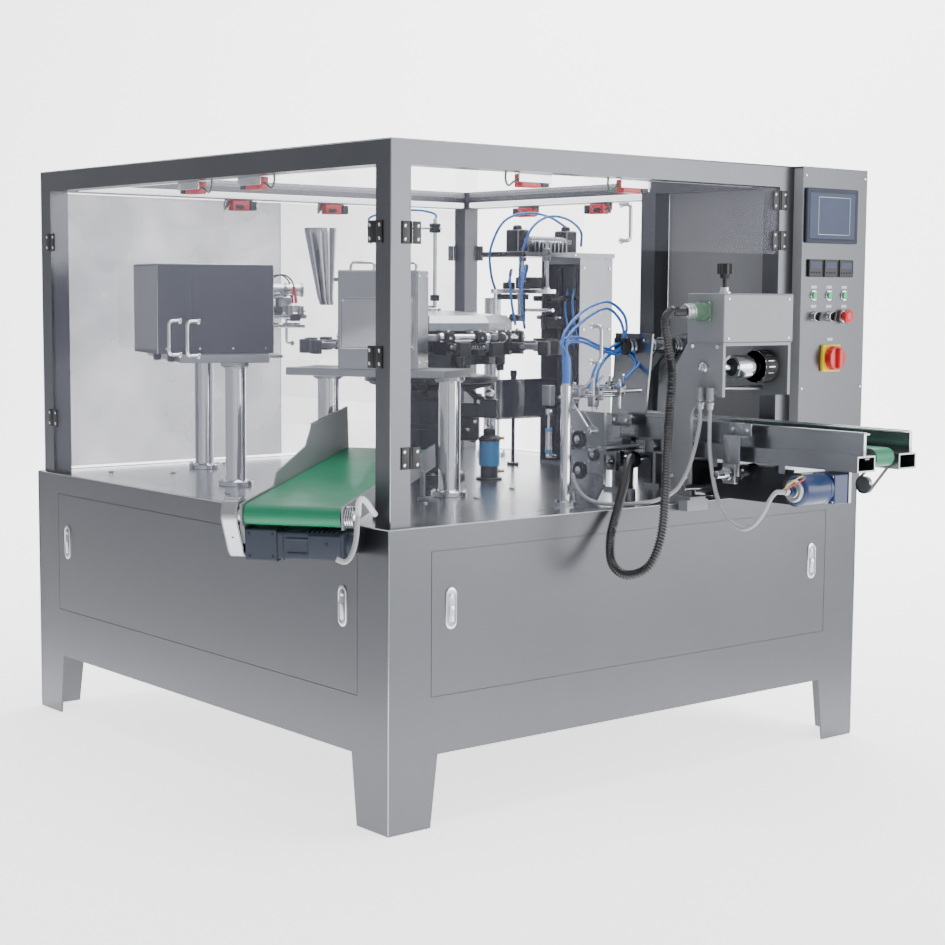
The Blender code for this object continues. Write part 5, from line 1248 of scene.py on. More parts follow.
def out_face(shape, x, y, z):
    """A shape drawn flat, with +Y up and +Z out, on the cooler cover's outer face."""
    points, faces = whole(shape)
    return cool_frame((np.stack([x + points[:, 2], y + points[:, 0], z + points[:, 1]], -1), faces))


blank = stepped([(212, 141, 4, 0.3), (212, 141, 4, 1.2), (211, 140, 4, 1.5)])
piece("blank_plate", out_face(blank, 578, 0, 1232.5), POLISHED)
edge = [bar((x, y, 1.8), size, 0.3) for x, y, size in (
    (0, 66.5, (204, 1.2, 0.6)), (0, -66.5, (204, 1.2, 0.6)),
    (102, 0, (1.2, 133, 0.6)), (-102, 0, (1.2, 133, 0.6)))]
piece("blank_plate_line", out_face(edge, 578, 0, 1232.5), DARK_METAL)
rivets = [
    turned([(3, 1.4), (2.8, 2.6), (1.4, 3.2)], 16, (x, y, 0)) for x in (-98.5, 98.5) for y in (-62.5, 62.5)]
piece("blank_plate_screws", out_face(rivets, 578, 0, 1232.5), CHROME)
feet = []
for x in (-120, 120):
    for y in (-80, 80):
        feet.append(seal_frame(bar((x, y, 1122.5), (20, 20, 23.5), 2)))
piece("sealer_feet", feet, BLACK)
seams = []
for x, y in ((-175, -135), (-175, 135), (175, -135), (175, 135)):
    seams.append(seal_frame(rod((x * 0.998, y * 0.998, 1135.2), (x * 0.998, y * 0.998, 1393), 1.2, 8)))
for a, b in (
    ((-175, -135), (175, -135)), ((-175, 135), (175, 135)), ((-175, -135), (-175, 135)),
    ((175, -135), (175, 135))):
    seams.append(
        seal_frame(rod((a[0] * 0.998, a[1] * 0.998, 1394.2), (b[0] * 0.998, b[1] * 0.998, 1394.2), 1.2, 8)))
piece("sealer_seams", seams, POLISHED, sharp=60)
fixings = [
    seal_frame(screw(3.4, 2.6, (x, y, 1150), (0, math.copysign(1, y), 0))) for x in (-150, -50, 50, 150)
    for y in (-135, 135)]
fixings += [
    cool_frame(screw(3.4, 2.6, (x, y, z), (0, math.copysign(1, y), 0))) for x in (480, 560)
    for y in (-114, 114) for z in (1125, 1360)]
piece("cover_screws", fixings, CHROME)
piece("sealer_side_shield", seal_frame(span((177, -133, 1148), (224, 133, 1388), 2)), SIDE_ACRYLIC)
print("posts and covers done")

# %% [markdown]
# Between the sealer's cover and the turret stand the sealing jaws: two heated bars on guide rods, an
# air cylinder that closes them, and heater leads in red sleeves.

# %% Sealing jaws in front of the cover


def jaw_frame(shape, place=(455, 1205)):
    """A shape drawn from the sealer cover's inner end, with X pointing to the turret."""
    return put(shape, (*place, 0), spin=math.radians(-28))


tubes = [
    rod((-10, y, z), (105, y, z), r, 28)
    for y, z, r in ((50, 1322, 19), (-45, 1245, 10), (45, 1245, 10), (0, 1215, 8))]
piece("sealer_rods", jaw_frame(tubes), CHROME)
rings = [
    turned([(19.5, 0), (21.5, 1), (21.5, 9), (19.5, 10)], 32, (x, 50, 1322), RIGHT) for x in (-4, 46, 96)]
piece("sealer_cylinder_rings", jaw_frame(rings), BRIGHT)
bars = [bar((52, 0, 1262), (18, 170, 30), 3), bar((86, 0, 1262), (16, 164, 26), 3),
        bar((20, 0, 1300), (30, 150, 8), 2), bar((40, -60, 1285), (36, 26, 30), 3),
        bar((40, 60, 1285), (36, 26, 30), 3)]
piece("sealing_bars", jaw_frame(bars), MILLED)
lumps = [bar((70, y, 1240), (30, 30, 22), 4) for y in (-56, 0, 56)]
lumps += [bar((20, y, 1262), (22, 20, 20), 3) for y in (-70, 70)]
piece("sealing_clamps", jaw_frame(lumps), BLACK)
nuts = [hexagon(5.8, 5, (95, y, 1262), RIGHT) for y in (-60, -20, 20, 60)]
nuts += [screw(4, 4, (52, y, 1277), UP) for y in (-70, -35, 35, 70)]
piece("sealing_screws", jaw_frame(nuts), CHROME)
leads, sleeves = [], []
for y, side in ((-30, -1), (26, 1)):
    route = [
        (-8, y, 1340), (12, y + side * 4, 1362), (40, y + side * 12, 1366), (60, y + side * 20, 1350),
        (68, y + side * 24, 1325), (72, y + side * 26, 1296)]
    leads.append(jaw_frame(tube(route, 2.4, 4, 8)))
    path = [(66.5, y + side * 23.5, 1332), (70.5, y + side * 25.5, 1305), (73, y + side * 26.5, 1282)]
    sleeves.append(jaw_frame(tube(path, 4.6, 4, 12)))
piece("heater_leads", leads, BLACK)
piece("heater_sleeves", sleeves, RED)
guard = [bar((70, -118, 1020), (130, 3, 190), 1)]
piece("pouch_guard", jaw_frame(guard), SIDE_ACRYLIC)
hangers = [bar((0, 0, 1125), (60, 180, 10), 2), bar((-14, 0, 1175), (8, 120, 100), 2)]
piece("jaw_bracket", jaw_frame(hangers), BRIGHT)

# %% Cooling jaws and station brackets
cool = [bar((448, 0, 1232), (14, 150, 28), 3), bar((440, 0, 1300), (20, 60, 40), 4),
        bar((452, -70, 1290), (12, 24, 80), 3), bar((452, 70, 1290), (12, 24, 80), 3)]
piece("cooling_bars", cool_frame(cool), MILLED)
pins = [rod((420, y, 1232), (462, y, 1232), 7, 20) for y in (-50, 50)]
piece("cooling_pins", cool_frame(pins), CHROME)

# %% Funnel
FUNNEL_MID = (715, 1312)


def funnel_ring(radius, z, share):
    """One level ring of the slanted funnel; its centre moves across as the share falls from 1 to 0."""
    a = 2 * np.pi * np.arange(56) / 56
    x, y = FUNNEL_MID[0] + 15 * (1 - share), FUNNEL_MID[1] - 12 * (1 - share)
    return np.column_stack([x + radius * np.cos(a), y + radius * np.sin(a), np.full(56, z)])


wall = [(22, 1276, 0), (25, 1300, 0.25), (50, 1500, 1.0), (51.4, 1513, 1.0), (51.4, 1516, 1.0),
        (49, 1516, 1.0), (48.5, 1500, 1.0), (23.5, 1300, 0.25), (20.5, 1276, 0)]
grid = np.array([funnel_ring(*step) for step in wall])
piece("funnel_cone", skin(np.concatenate([grid, grid[:1]]), caps=False), POLISHED, body="funnel")
seam = [funnel_ring(50.5, 1500, 1.0)[20], funnel_ring(25.5, 1300, 0.25)[20]]
piece("funnel_seam", rod(seam[0], seam[1], 0.8, 6), BRIGHT, body="funnel", sharp=60)
print("sealing, cooling and filling done")

# %% [markdown]
# The opening station is a tower with a bridge over the pouches. Two black drives and a ribbed air
# cylinder stand on the bridge, and a plate with suction cups hangs on two guide rods below it.

# %% Opening tower
BRIDGE_TOP, MID_Y = 1448, 1045
drives = [bar((x, MID_Y, BRIDGE_TOP + 36.5), (47.5, 61.5, 74.5), 7) for x in (1300, 1510)]
drives += [turned([(15, 0), (15, 10), (10, 14)], 20, (x, MID_Y, BRIDGE_TOP + 73.5)) for x in (1300, 1510)]
piece("bridge_drives", drives, BLACK)
ribs = []
for y in (-18, 18):
    profile = []
    for k in range(14):
        z = 12 + k * 11.2
        profile += [(15.2, z), (17.2, z + 0.8), (17.2, z + 6.4), (15.2, z + 7.2)]
    ribs.append(turned(profile, 28, (1318, MID_Y + y, BRIDGE_TOP + 36), RIGHT))
piece("bridge_cylinders", ribs, POLISHED)
fins = [bar((1345 + 17 * k, MID_Y, BRIDGE_TOP + 18), (6, 74, 34), 1) for k in range(9)]
piece("bridge_fins", fins, MILLED)
nose = [turned([(7.5, 0), (9, 2), (9, 206), (7.5, 208)], 20, (1238.5, 941, 1440.5), BACK)]
nose.append(span((1236, 938, 1432.5), (1246, 1152, 1448.4), 4))
piece("bridge_nose", nose, BLACK)
guides, nuts = [], []
for y in (985, 1105):
    guides.append(turned([(6.2, 1332), (6.8, 1333), (6.8, 1420.5), (6.2, 1421)], 20, (1375, y, 0)))
    nuts.append(hexagon(10.5, 8, (1375, y, 1330.2)))
    nuts.append(turned([(14, 1458.5), (14, 1460.5), (11, 1462.5), (7.5, 1463)], 24, (1375, y, 0)))
piece("guide_rods", guides, CHROME, body="opening_head")
piece("guide_nuts", nuts[::2], CHROME, body="opening_head")
piece("guide_caps", nuts[1::2], BRIGHT)
blocks = [
    bar((1352, MID_Y, 1350), (60, 70, 38), 4), bar((1300, 1010, 1341), (34, 26, 22), 3),
    bar((1300, 1085, 1341), (34, 26, 22), 3), bar((1285, MID_Y, 1305), (22, 130, 18), 3)]
piece("head_blocks", blocks, BLACK, body="opening_head")
cups = []
for y in (985, 1105):
    cups.append(
        turned([(4, 0), (5.5, 4), (9, 7), (7.5, 10), (12.5, 15), (13.5, 20)], 28, (1246, y, 1238), LEFT))
piece("opening_cups", cups, RUBBER, body="opening_head")
brass = [hexagon(6.2, 6, (x, y, 1352)) for x in (1300,) for y in (1010, 1085)]
brass += [hexagon(5.8, 6, (1269, y, 1316), UP) for y in (985, 1105)]
piece("head_fittings", brass, BRASS, body="opening_head")
side_bolts = [screw(4, 4, (x, 950, z), FRONT) for x in (1505, 1620) for z in (800, 1000, 1200, 1400)]
side_bolts += [screw(4, 4, (1256 + dx, 940, 1440.5), FRONT) for dx in (50, 200)]
piece("tower_screws", side_bolts, CHROME)
inner = [bar((1560, MID_Y, z), (118, 150, 8), 1) for z in (950, 1150, 1300)]
inner += [rod((1530, 1000, 760), (1530, 1000, 1400), 10), rod((1530, 1090, 760), (1530, 1090, 1400), 10)]
piece("tower_inside", inner, DARK_METAL)
linkage = [
    bar((1455, 1000, 1300), (80, 16, 18), 3), bar((1455, 1090, 1300), (80, 16, 18), 3),
    bar((1470, MID_Y, 1220), (40, 110, 36), 4), rod((1420, MID_Y, 1200), (1420, MID_Y, 1420), 8)]
piece("tower_linkage", linkage, BLACK)
shafts = [rod((1430, y, 1238), (1492, y, 1238), 7) for y in (1000, 1090)]
shafts += [rod((1395, 975, 1262), (1395, 1115, 1262), 6)]
piece("tower_shafts", shafts, CHROME)

# %% [markdown]
# A sensor hangs over the turret on a thin post: an upright rod, a clamp, a level arm and a nozzle.

# %% Sensor post and nozzle
SENSOR = (1060, 1170)
stand = [
    rod((*SENSOR, DECK + 0.5), (*SENSOR, 1552), 6.2, 20),
    turned([(20, 0), (20, 7), (8.5, 9), (8.5, 24)], 28, (*SENSOR, DECK + 0.5))]
direction = np.array([-math.cos(math.radians(39.5)), math.sin(math.radians(39.5)), 0])
tip = np.array([*SENSOR, 1522]) + direction * 205
stand.append(rod(np.array([*SENSOR, 1522]) - direction * 22, tip, 5, 18))
stand.append(turned([(2.2, 0), (4.5, 10), (6, 30), (6, 64)], 20, (tip[0], tip[1], 1470)))
piece("sensor_rods", stand, CHROME)
clamps = [
    bar((*SENSOR, 1522), (30, 26, 30), 4), bar((tip[0], tip[1], 1524), (18, 18, 18), 3),
    bar((*SENSOR, 1300), (24, 22, 20), 3)]
piece("sensor_clamps", clamps, BLACK)
high = np.array([*SENSOR, 1552])
curve = [
    high + (0, 0, -6), high + (0, 0, 14), high + direction * 50 + (0, 0, 26),
    high + direction * 130 + (0, 0, 24), tip + (0, 0, 34), tip + direction * 6 + (0, 0, 12)]
piece("sensor_tube", tube(curve, 3.6, 6, 12), BLUE_TUBE)

# %% Air tubes at the tower
arcs = [
    [(1262, 985, 1322), (1250, 975, 1370), (1250, 965, 1440), (1280, 955, 1520), (1345, 950, 1560),
     (1430, 952, 1556), (1500, 962, 1520), (1512, 972, 1470)],
    [(1262, 1105, 1322), (1236, 1100, 1380), (1226, 1090, 1460), (1262, 1070, 1545), (1340, 1055, 1575),
     (1440, 1050, 1566), (1522, 1048, 1530)],
    [(1300, 1010, 1354), (1296, 990, 1400), (1262, 962, 1400), (1232, 940, 1350), (1222, 930, 1270),
     (1240, 936, 1205)],
    [(1300, 1085, 1354), (1290, 1060, 1392), (1248, 1020, 1372), (1226, 985, 1290), (1226, 965, 1215)],
    [(1492, 980, 1330), (1470, 965, 1290), (1470, 955, 1220), (1492, 958, 1160)],
    [(1492, 1010, 1330), (1462, 990, 1270), (1466, 975, 1190), (1492, 975, 1140)],
]
piece("tower_tubes", [tube(route, 4.2, 8, 12) for route in arcs], BLUE_TUBE)

# %% Smoked plate and screen post cap
plates = span((1256, 1092.5, 905), (1560, 1095.5, 1036), 1)
piece("smoked_plate", plates, SMOKED)
cap = turned([(9, 1045.2), (11.5, 1046), (11.5, 1062), (10, 1064)], 28, (1350, 1116, 0))
piece("screen_post_cap", cap, BLACK)
print("tower and sensor done")

# %% [markdown]
# The bag magazine carries empty bags in on a belt. Its rails clamp to two cross shafts with split
# blocks, a handwheel sets their width, and a suction arm lifts one bag at a time to the turret.

# %% Rails, brackets and shafts
lips = []
for x, side in ((1080, 1), (1275, -1)):
    lips.append(span((min(x, x + side * 10), -550.5, 913.5), (max(x, x + side * 10), -549.3, 970.5), 0.4))
    lips.append(rod((x + side * 11, -550.5, 970.8), (x + side * 11, 420, 970.8), 1.8, 10))
    lips.append(rod((x + side * 22, -550.5, 968), (x + side * 22, 420, 968), 2.2, 10))
piece("rail_lips", lips, POLISHED, sharp=60)


def hat(x, y, z, way):
    """A folded bracket: a flange on the rail with two screws, and a drop plate that grips the shaft."""
    flange = [bar((x, y, z + 30), (3.5, 78, 32), 1), bar((x - way * 14, y, z + 12), (30, 72, 3.5), 1)]
    drop = [bar((x - way * 28, y + 6, z - 40), (4.5, 60, 108), 1)]
    heads = [hexagon(5.8, 5, (x - way * 1.8, y + s, z + 30), (-way, 0, 0)) for s in (-24, 24)]
    return [*flange, *drop], joined(*heads)


hats, heads = zip(*[hat(1047, y, 930, 1) for y in (-165, 290)])
piece("rail_brackets", joined(*hats), BRIGHT)
piece("rail_bracket_bolts", joined(*heads), CHROME)
clamp, shafts, collars = [], [], []
for y in (-160, 296):
    shafts.append(rod((960, y, 842), (1160, y, 842), 10.5, 24))
    for x in (992, 1040):
        collars.append(turned([(10.8, 0), (18.5, 1), (18.5, 10), (10.8, 11)], 28, (x, y, 842), RIGHT))
    clamp.append(bar((1016, y, 842), (16, 46, 52), 3))
piece("cross_shafts", shafts, CHROME)
piece("shaft_collars", collars, POLISHED)
piece("shaft_clamps", clamp, MILLED)
bearings = []
for y, z in ((-160, 842), (296, 842), (-190, 790)):
    bearings.append(
        turned(
            [(6, 0), (24, 1), (24, 8), (21, 10), (18, 9.2), (12, 9.2), (10.5, 12)], 32, (1110, y, z), LEFT))
piece("bearing_rings", bearings, DARK_METAL)
# A dark skirt and block fill the black space under the rails: partly the real drive case, partly painted
# shade.
under = [span((1070, -330, 770), (1076, 100, 862), 1), span((1110, -200, 762), (1230, 120, 852), 4)]
piece("gear_case", under, DARK_METAL)
low = [span((1030, -20, 770.5), (1270, 0, 787.5), 2), rod((990, -12, 792), (1080, -12, 792), 9, 20),
       bar((1084, -12, 792), (12, 46, 50), 2)]
piece("slide_bar", low, BRIGHT)

# %% Handwheel and timing belt
WHEEL_AT = (1072, -345, 812)
wheel = turned([(6, -4), (40, -3), (44, 0), (44, 10), (40, 13), (30, 11), (20, 13), (6, 18)], 48)
piece("hand_wheel", put(wheel, WHEEL_AT, LEFT), BLACK)
dial = turned([(20.5, 11.8), (27, 12), (27, 15), (20.5, 15.2)], 40)
piece("hand_wheel_ring", put(dial, WHEEL_AT, LEFT), YELLOW)
piece("hand_wheel_grip", turned([(6, 10), (7, 12), (8.5, 30), (6, 36)], 20, (1072, -372, 835), LEFT), BLACK)
belt_y, belt_z = (-526, -450), (905, 826)
loop = []
a = np.linspace(0, 2 * np.pi, 97)[:-1]
lean = math.atan2(belt_z[0] - belt_z[1], belt_y[0] - belt_y[1])
for t in a:
    first = math.cos(t - lean) > 0
    cy, cz, r = (belt_y[0], belt_z[0], 17) if first else (belt_y[1], belt_z[1], 24)
    loop.append((cy + r * math.cos(t), cz + r * math.sin(t)))
loop = np.array(loop)
middle = loop.mean(0)
inner = middle + (loop - middle) * 0.93
ring = np.array([
    np.column_stack([np.full(96, x), line])
    for x, line in ((1206, loop), (1220, loop), (1220, inner), (1206, inner), (1206, loop))])
piece("timing_belt", skin(ring, caps=False), RUBBER)
piece(
    "timing_pulleys",
    [
        turned([(22, 0), (22, 12)], 32, (1207, -450, 826), RIGHT),
        turned([(15, 0), (15, 12)], 32, (1207, -526, 905), RIGHT)], MILLED)

# %% Bag belt
pulley = [
    turned([(12, 0), (20.6, 0.6), (20.6, 1.4), (12, 2)], 40, (x, -526, 905), RIGHT)
    for x in (1132.5, 1203.5)]
piece("belt_pulley_rims", pulley, MILLED, body="belt_pulley")

# %% Suction arm
hub = [rod((1088.5, 300, 1167), (1266.5, 300, 1167), 18.4, 32)]
hub += [turned([(18.6, 0), (22.5, 1), (22.5, 8), (18.6, 9)], 32, (x, 300, 1167), RIGHT)
        for x in (1089, 1172, 1257)]
piece("suction_shaft", hub, CHROME, body="suction_arm")
blocks = [bar((x, 300, 1167), (34.5, 48.5, 48.5), 5) for x in (1122.5, 1232.5)]
piece("suction_blocks", blocks, BLACK, body="suction_arm")
cups = []
for x in (1122.5, 1232.5):
    cups.append(
        turned(
            [(6, -10), (6.8, 8), (10.8, 12), (9, 16), (14.2, 21.5), (14.8, 26.2)], 28, (x, 400, 1061),
            (0, 0.866, -0.5)))
piece("suction_cups", cups, RUBBER, body="suction_arm")
guides = []
for x in (1078.5, 1276.5):
    side = -1 if x < 1200 else 1
    for y, z in ((235, 1185), (330, 1185), (275, 965), (350, 965)):
        guides.append(screw(4.5, 4, (x + side * 1, y, z), (side, 0, 0)))
    guides.append(turned([(11, 0), (23.5, 1), (23.5, 8), (20, 10)], 32, (x, 300, 1167), (side, 0, 0)))
piece("guide_fixings", guides, CHROME)
print("magazine done")

# %% [markdown]
# The bag opening linkage sits on an upright plate beside the hose post. Three ball races, a crank rod and
# a few clamps hold its shafts, and the blue air tubes arch over from the post to the suction arm.

# %% Races, crank rod and clamps on the upright plate
PLATE_FACE = 825.6
RACE = [(6.2, 0), (24, 0.4), (24, 5), (21.5, 6.2), (19, 5), (12, 5),
        (10.5, 7), (6.2, 7.2)]
races = [turned(RACE, 36, (PLATE_FACE, y, z), LEFT) for y, z in ((229, 917), (224, 832))]
races.append(turned([(r * 0.75, h) for r, h in RACE], 36, (PLATE_FACE, 168, 880), LEFT))
piece("plate_races", races, DARK_METAL)
eyes = []
for y, z, r in ((229, 917, 11.5), (224, 832, 11.5), (168, 880, 9.5)):
    eyes.append(turned([(0.1, 11), (r * 0.6, 11), (r, 9), (r, 5)], 28, (PLATE_FACE, y, z), LEFT))
    for turn in range(4):
        a = math.pi / 4 + turn * math.pi / 2
        eyes.append(screw(2.8, 1.8, (PLATE_FACE, y + 30 * math.cos(a), z + 30 * math.sin(a)), LEFT))
piece("race_eyes", eyes, CHROME)
crank = [rod((817, 247, 1019), (817, 177, 946), 4.2, 18)]
for y, z in ((247, 1019), (177, 946)):
    crank.append(rod((812, y, z), (826.5, y, z), 10.5, 24, 1.2))
    crank.append(hexagon(5.2, 4, (812.2, y, z), LEFT))
piece("crank_rod", crank, CHROME)

# %% Cross rods above the rails
cross = [rod((790, 236, 1046), (1066, 236, 1046), 6.2, 20), rod((812, 296, 1030), (1030, 296, 1030), 5, 18)]
cross += [
    rod((x, y, 996), (x, y, top), 4.5, 16)
    for x, y, top in ((831, 180, 1086), (900, 236, 1094), (985, 236, 1078), (868, 296, 1070))]
piece("opening_rods", cross, CHROME)
holds = []
for x, y, z, wide, deep, high in (
    (831, 180, 1024, 22, 24, 30), (831, 236, 1046, 26, 24, 26), (900, 236, 1046, 20, 26, 28),
    (985, 236, 1046, 22, 26, 26), (868, 296, 1032, 24, 22, 26), (960, 296, 1030, 18, 26, 24),
    (820, 350, 1033, 22, 34, 56)):
    holds.append(bar((x, y, z), (wide, deep, high), 2.5))
piece("opening_clamps", holds, MILLED)
caps = [screw(3.6, 3, (x, y, z), axis) for x, y, z, axis in (
    (831, 168, 1030, FRONT), (900, 223, 1052, FRONT), (985, 223, 1040, FRONT),
    (868, 285, 1036, FRONT), (831, 236, 1059, UP), (960, 283, 1034, FRONT))]
piece("opening_screws", caps, DARK_METAL)
fingers = []
for x, y, lean in ((846, 262, 28), (884, 262, 20), (944, 262, -16), (1004, 262, -24)):
    fingers.append(bar((x, y, 1058), (4.5, 60, 12), 1.2))
    fingers.append(rod((x, y - 26, 1058), (x + lean, y - 46, 1092), 3.4, 14))
piece("opening_fingers", fingers, POLISHED)

# %% Small air cylinder beside the plate
small = [
    rod((808, 335, 872), (808, 335, 940), 8, 24), rod((808, 335, 940), (808, 335, 985), 3.4, 14),
    bar((808, 335, 988), (16, 12, 16), 2), bar((818, 335, 864), (30, 14, 10), 1.5)]
piece("small_cylinder", small, CHROME)
ends = [rod((808, 335, z), (808, 335, z + 11), 9.2, 24, 1) for z in (872, 932)]
piece("small_cylinder_ends", ends, SKY)

# %% Blue air tubes
FITTING = (1050, 296, 1170)
POST_TOP = (705, 150, 1083.6)


def arch(*points, start=(0, 0)):
    """A tube that rises from the post top, passes the points given and ends in the fitting block."""
    low = (POST_TOP[0] + start[0], POST_TOP[1] + start[1], POST_TOP[2])
    return [low, (low[0], low[1], low[2] + 60), *points]


tubes = [
    arch(
        (700, 160, 1205), (801, 193, 1268), (934, 238, 1294), (1025, 268, 1262), (1052, 280, 1220),
        (1046, 286, 1188), start=(-7, 4)),
    arch(
        (712, 156, 1198), (812, 190, 1250), (925, 232, 1276), (1002, 262, 1250), (1036, 276, 1212),
        (1040, 284, 1184), start=(6, 6)),
    arch(
        (692, 158, 1190), (786, 188, 1198), (900, 228, 1172), (985, 256, 1156), (1034, 284, 1160),
        start=(1, -7)),
    arch(
        (706, 150, 1184), (790, 182, 1186), (905, 222, 1160), (990, 252, 1146), (1036, 286, 1154),
        start=(-5, -4)),
    [
        (1034, 286, 1166), (996, 262, 1158), (936, 238, 1141), (893, 224, 1110), (880, 219, 1080),
        (876, 226, 1058)],
    [
        (1034, 290, 1178), (990, 268, 1172), (928, 246, 1150), (884, 230, 1112), (866, 226, 1080),
        (858, 230, 1056)],
    [
        (1066, 290, 1160), (1088, 270, 1146), (1082, 258, 1120), (1040, 254, 1092), (1006, 246, 1074),
        (994, 240, 1058)],
    [
        (1066, 294, 1150), (1080, 276, 1130), (1066, 262, 1106), (1030, 256, 1080), (992, 248, 1066),
        (976, 242, 1056)],]
piece("arm_tubes", [tube(route, 4, 10, 14) for route in tubes], BLUE_TUBE)
sleeve = [tube([(705, 150, 1078), (705, 150, 1110), (704, 152, 1150)], 12.5, 10, 20)]
piece("tube_bundle_sleeve", sleeve, BLUE_TUBE)
mount = [bar(FITTING, (30, 40, 46), 4), rod((1035, 296, 1188), (1035, 296, 1206), 7.5, 20)]
mount += [rod((1030, 284, z), (1040, 284, z), 6.8, 18) for z in (1154, 1170, 1186)]
mount += [
    rod((1058, 292, 1150), (1070, 292, 1150), 6.8, 18), rod((1050, 270, 1186), (1050, 281, 1186), 6.8, 18)]
piece("arm_fittings", mount, BLACK)
print("front done")

# %% [markdown]
# The feed gantry stands over the magazine. A rubber-edged drum under its cover pushes the bags in, and
# a round multi-pin plug brings power to the drum's motor through the thick black hose.

# %% Drum, hubs and shaft
DRUM_Y, DRUM_Z = -60, 1120


def along_x(profile, x, y, z, sides=40):
    """A turned shape laid along +X at a place."""
    return turned(profile, sides, (x, y, z), RIGHT)


drum = [
    along_x(
        [(24, 0), (31.8, 0.4), (32.4, 1.4), (32.4, 78.6), (31.8, 79.6), (24, 80)], 1120, DRUM_Y, DRUM_Z,
        64)]
piece("drum_sleeve", drum, CHROME, body="feed_roller", sharp=50)
tyre = [(30, 0), (44, 0), (46, 2), (46.2, 10), (44.8, 12.5), (44.8, 37.5), (46.2, 40),
        (46, 48), (44, 50), (30, 50)]
hub = [(10.5, -1), (17, -1), (20, -0.6), (22.8, -0.6), (23.6, 0.4)]
blacks = [
    along_x(tyre, 1212, DRUM_Y, DRUM_Z, 56), along_x(hub, 1119.4, DRUM_Y, DRUM_Z),
    along_x(hub, 1211.4, DRUM_Y, DRUM_Z)]
piece("drum_tyre", blacks, RUBBER, body="feed_roller")
nuts = [
    along_x([(7, -16), (11.2, -15), (11.2, -7), (15, -6.5), (15, -3), (7, -2.8)], 1015, DRUM_Y, DRUM_Z, 36),
    hexagon(9.8, 7.2, (1013.5, DRUM_Y, DRUM_Z), LEFT)]
piece("drum_shaft_nuts", nuts, CHROME, body="feed_roller")
piece("gantry_rod", rod((1024.5, -30, 1060), (1276, -30, 1060), 6, 20), MILLED)
heads = []
for y, z in ((-19, 1178), (-107, 1178), (52, 820), (0, 820)):
    heads.append(screw(5.8, 5, (1014.6, y, z), LEFT))
piece("gantry_screws", joined(*heads), CHROME)

# %% Plug and cable glands
PLUG_Y, PLUG_Z, WALL_X = -60, 1272, 1010.6


def to_left(profile, x, y=PLUG_Y, z=PLUG_Z, sides=40):
    """A turned shape laid along -X at a place."""
    return turned(profile, sides, (x, y, z), LEFT)


ribs = [(21.5, 5.5), (21.5, 20)]
for i in range(9):
    h = 20.8 + i * 3
    ribs += [(23.8, h), (23.8, h + 1.7), (22.6, h + 2.1), (22.6, h + 2.8)]
ribs += [(22, 48.6), (20, 50)]
flange = bar((WALL_X - 2.8, PLUG_Y, PLUG_Z), (5.5, 54, 54), 1.6)
piece("plug_body", [flange, to_left(ribs, WALL_X)], SAGE)
clamp_ring = [
    (20, 49.5), (20.8, 50.5), (20.8, 56), (19, 56.8), (19, 62), (20.6, 62.8), (20.6, 70), (19, 71.2),
    (17.8, 77), (15, 77.6)]
piece("plug_clamp_ring", to_left(clamp_ring, WALL_X), CAST)
bolts = [
    screw(3, 2.4, (WALL_X - 5.6, PLUG_Y + dy, PLUG_Z + dz), LEFT) for dy in (-21.5, 21.5)
    for dz in (-21.5, 21.5)]
bolts += [screw(2.4, 1.8, (WALL_X - 66, PLUG_Y + s, PLUG_Z + 19.6), UP) for s in (-6, 6)]
piece("plug_screws", bolts, CHROME)
cuffs = []
for y in (-60, -96):
    cuffs.append(
        turned(
            [(7.8, -18), (9.2, -17), (9.2, -6), (11.2, -5), (11.2, 0), (7, 0.4)], 28, (1000, y, 1027.6),
            UP))
cuffs.append(turned([(7.8, -16), (9.2, -15), (9.2, -4), (7, -3)], 28, (915, -450, 826), RIGHT))
piece("hose_cuffs", cuffs, CAST)

# %% Cover corners
seams = [
    span((1010.8, -130.6, 1189), (1289.2, -129.8, 1190.5), 0.2),
    span((1010.8, -130.6, 1316), (1289.2, -129.8, 1316.8), 0.2)]
piece("cover_folds", seams, DARK_METAL)
pins = [screw(3, 1.6, (x, -130.2, z), FRONT) for x in (1030, 1270) for z in (1200, 1305)]
piece("cover_pins", pins, CHROME)
boss = [turned([(7.5, 0), (18, 0), (18, 4), (12, 6), (12, 16), (7.5, 17)], 32, (1085, -62, 1320.2))]
piece("knob_boss", boss, CHROME)

# %% Feed motor
MOTOR_Y, MOTOR_Z = -450, 826
cap = [(10.8, -1), (15, -2.4), (17, -1), (20, -1), (22.5, -2.6), (26.2, -2.4), (28.2, -0.4),
       (28.8, 4), (28.8, 8)]
piece("motor_end_cap", along_x(cap, 931.6, MOTOR_Y, MOTOR_Z, 48), CAST)
shell = [(28.8, 0), (34, 1.4), (37.5, 4.8), (38.8, 10), (38.8, 94), (40, 95.2), (40, 104), (36, 104.6)]
piece("motor_shell", along_x(shell, 939.2, MOTOR_Y, MOTOR_Z, 64), NAVY)
ties = [
    screw(3, 2.6, (1046.2, MOTOR_Y + dy, MOTOR_Z + dz), LEFT) for dy in (-32.5, 32.5)
    for dz in (-32.5, 32.5)]
piece("motor_screws", ties, CHROME)
leads = {
    "red": (((898, -456, 832), (912, -472, 846), (934, -480, 856), (948, -474, 861)), RED),
    "yellow": (((898, -453, 834), (910, -464, 850), (932, -470, 862), (950, -466, 864)), YELLOW)}
for name, (route, finish) in leads.items():
    piece("motor_lead_" + name, tube(route, 1.6, 4, 10), finish)
print("gantry done")

# %% [markdown]
# The discharge belt slopes down and out over the deck's left edge. A geared motor hangs below its end,
# and a polished cover hides the drive between the two shafts.

# %% Measure along the discharge belt
EXIT_MATRIX = np.array(
    Matrix.Rotation(math.radians(37), 3, "Z") @ Matrix.Rotation(math.radians(-5), 3, "Y"))
EXIT_ZERO = np.array([-153, 174, 806])
AXLE_Z = -25


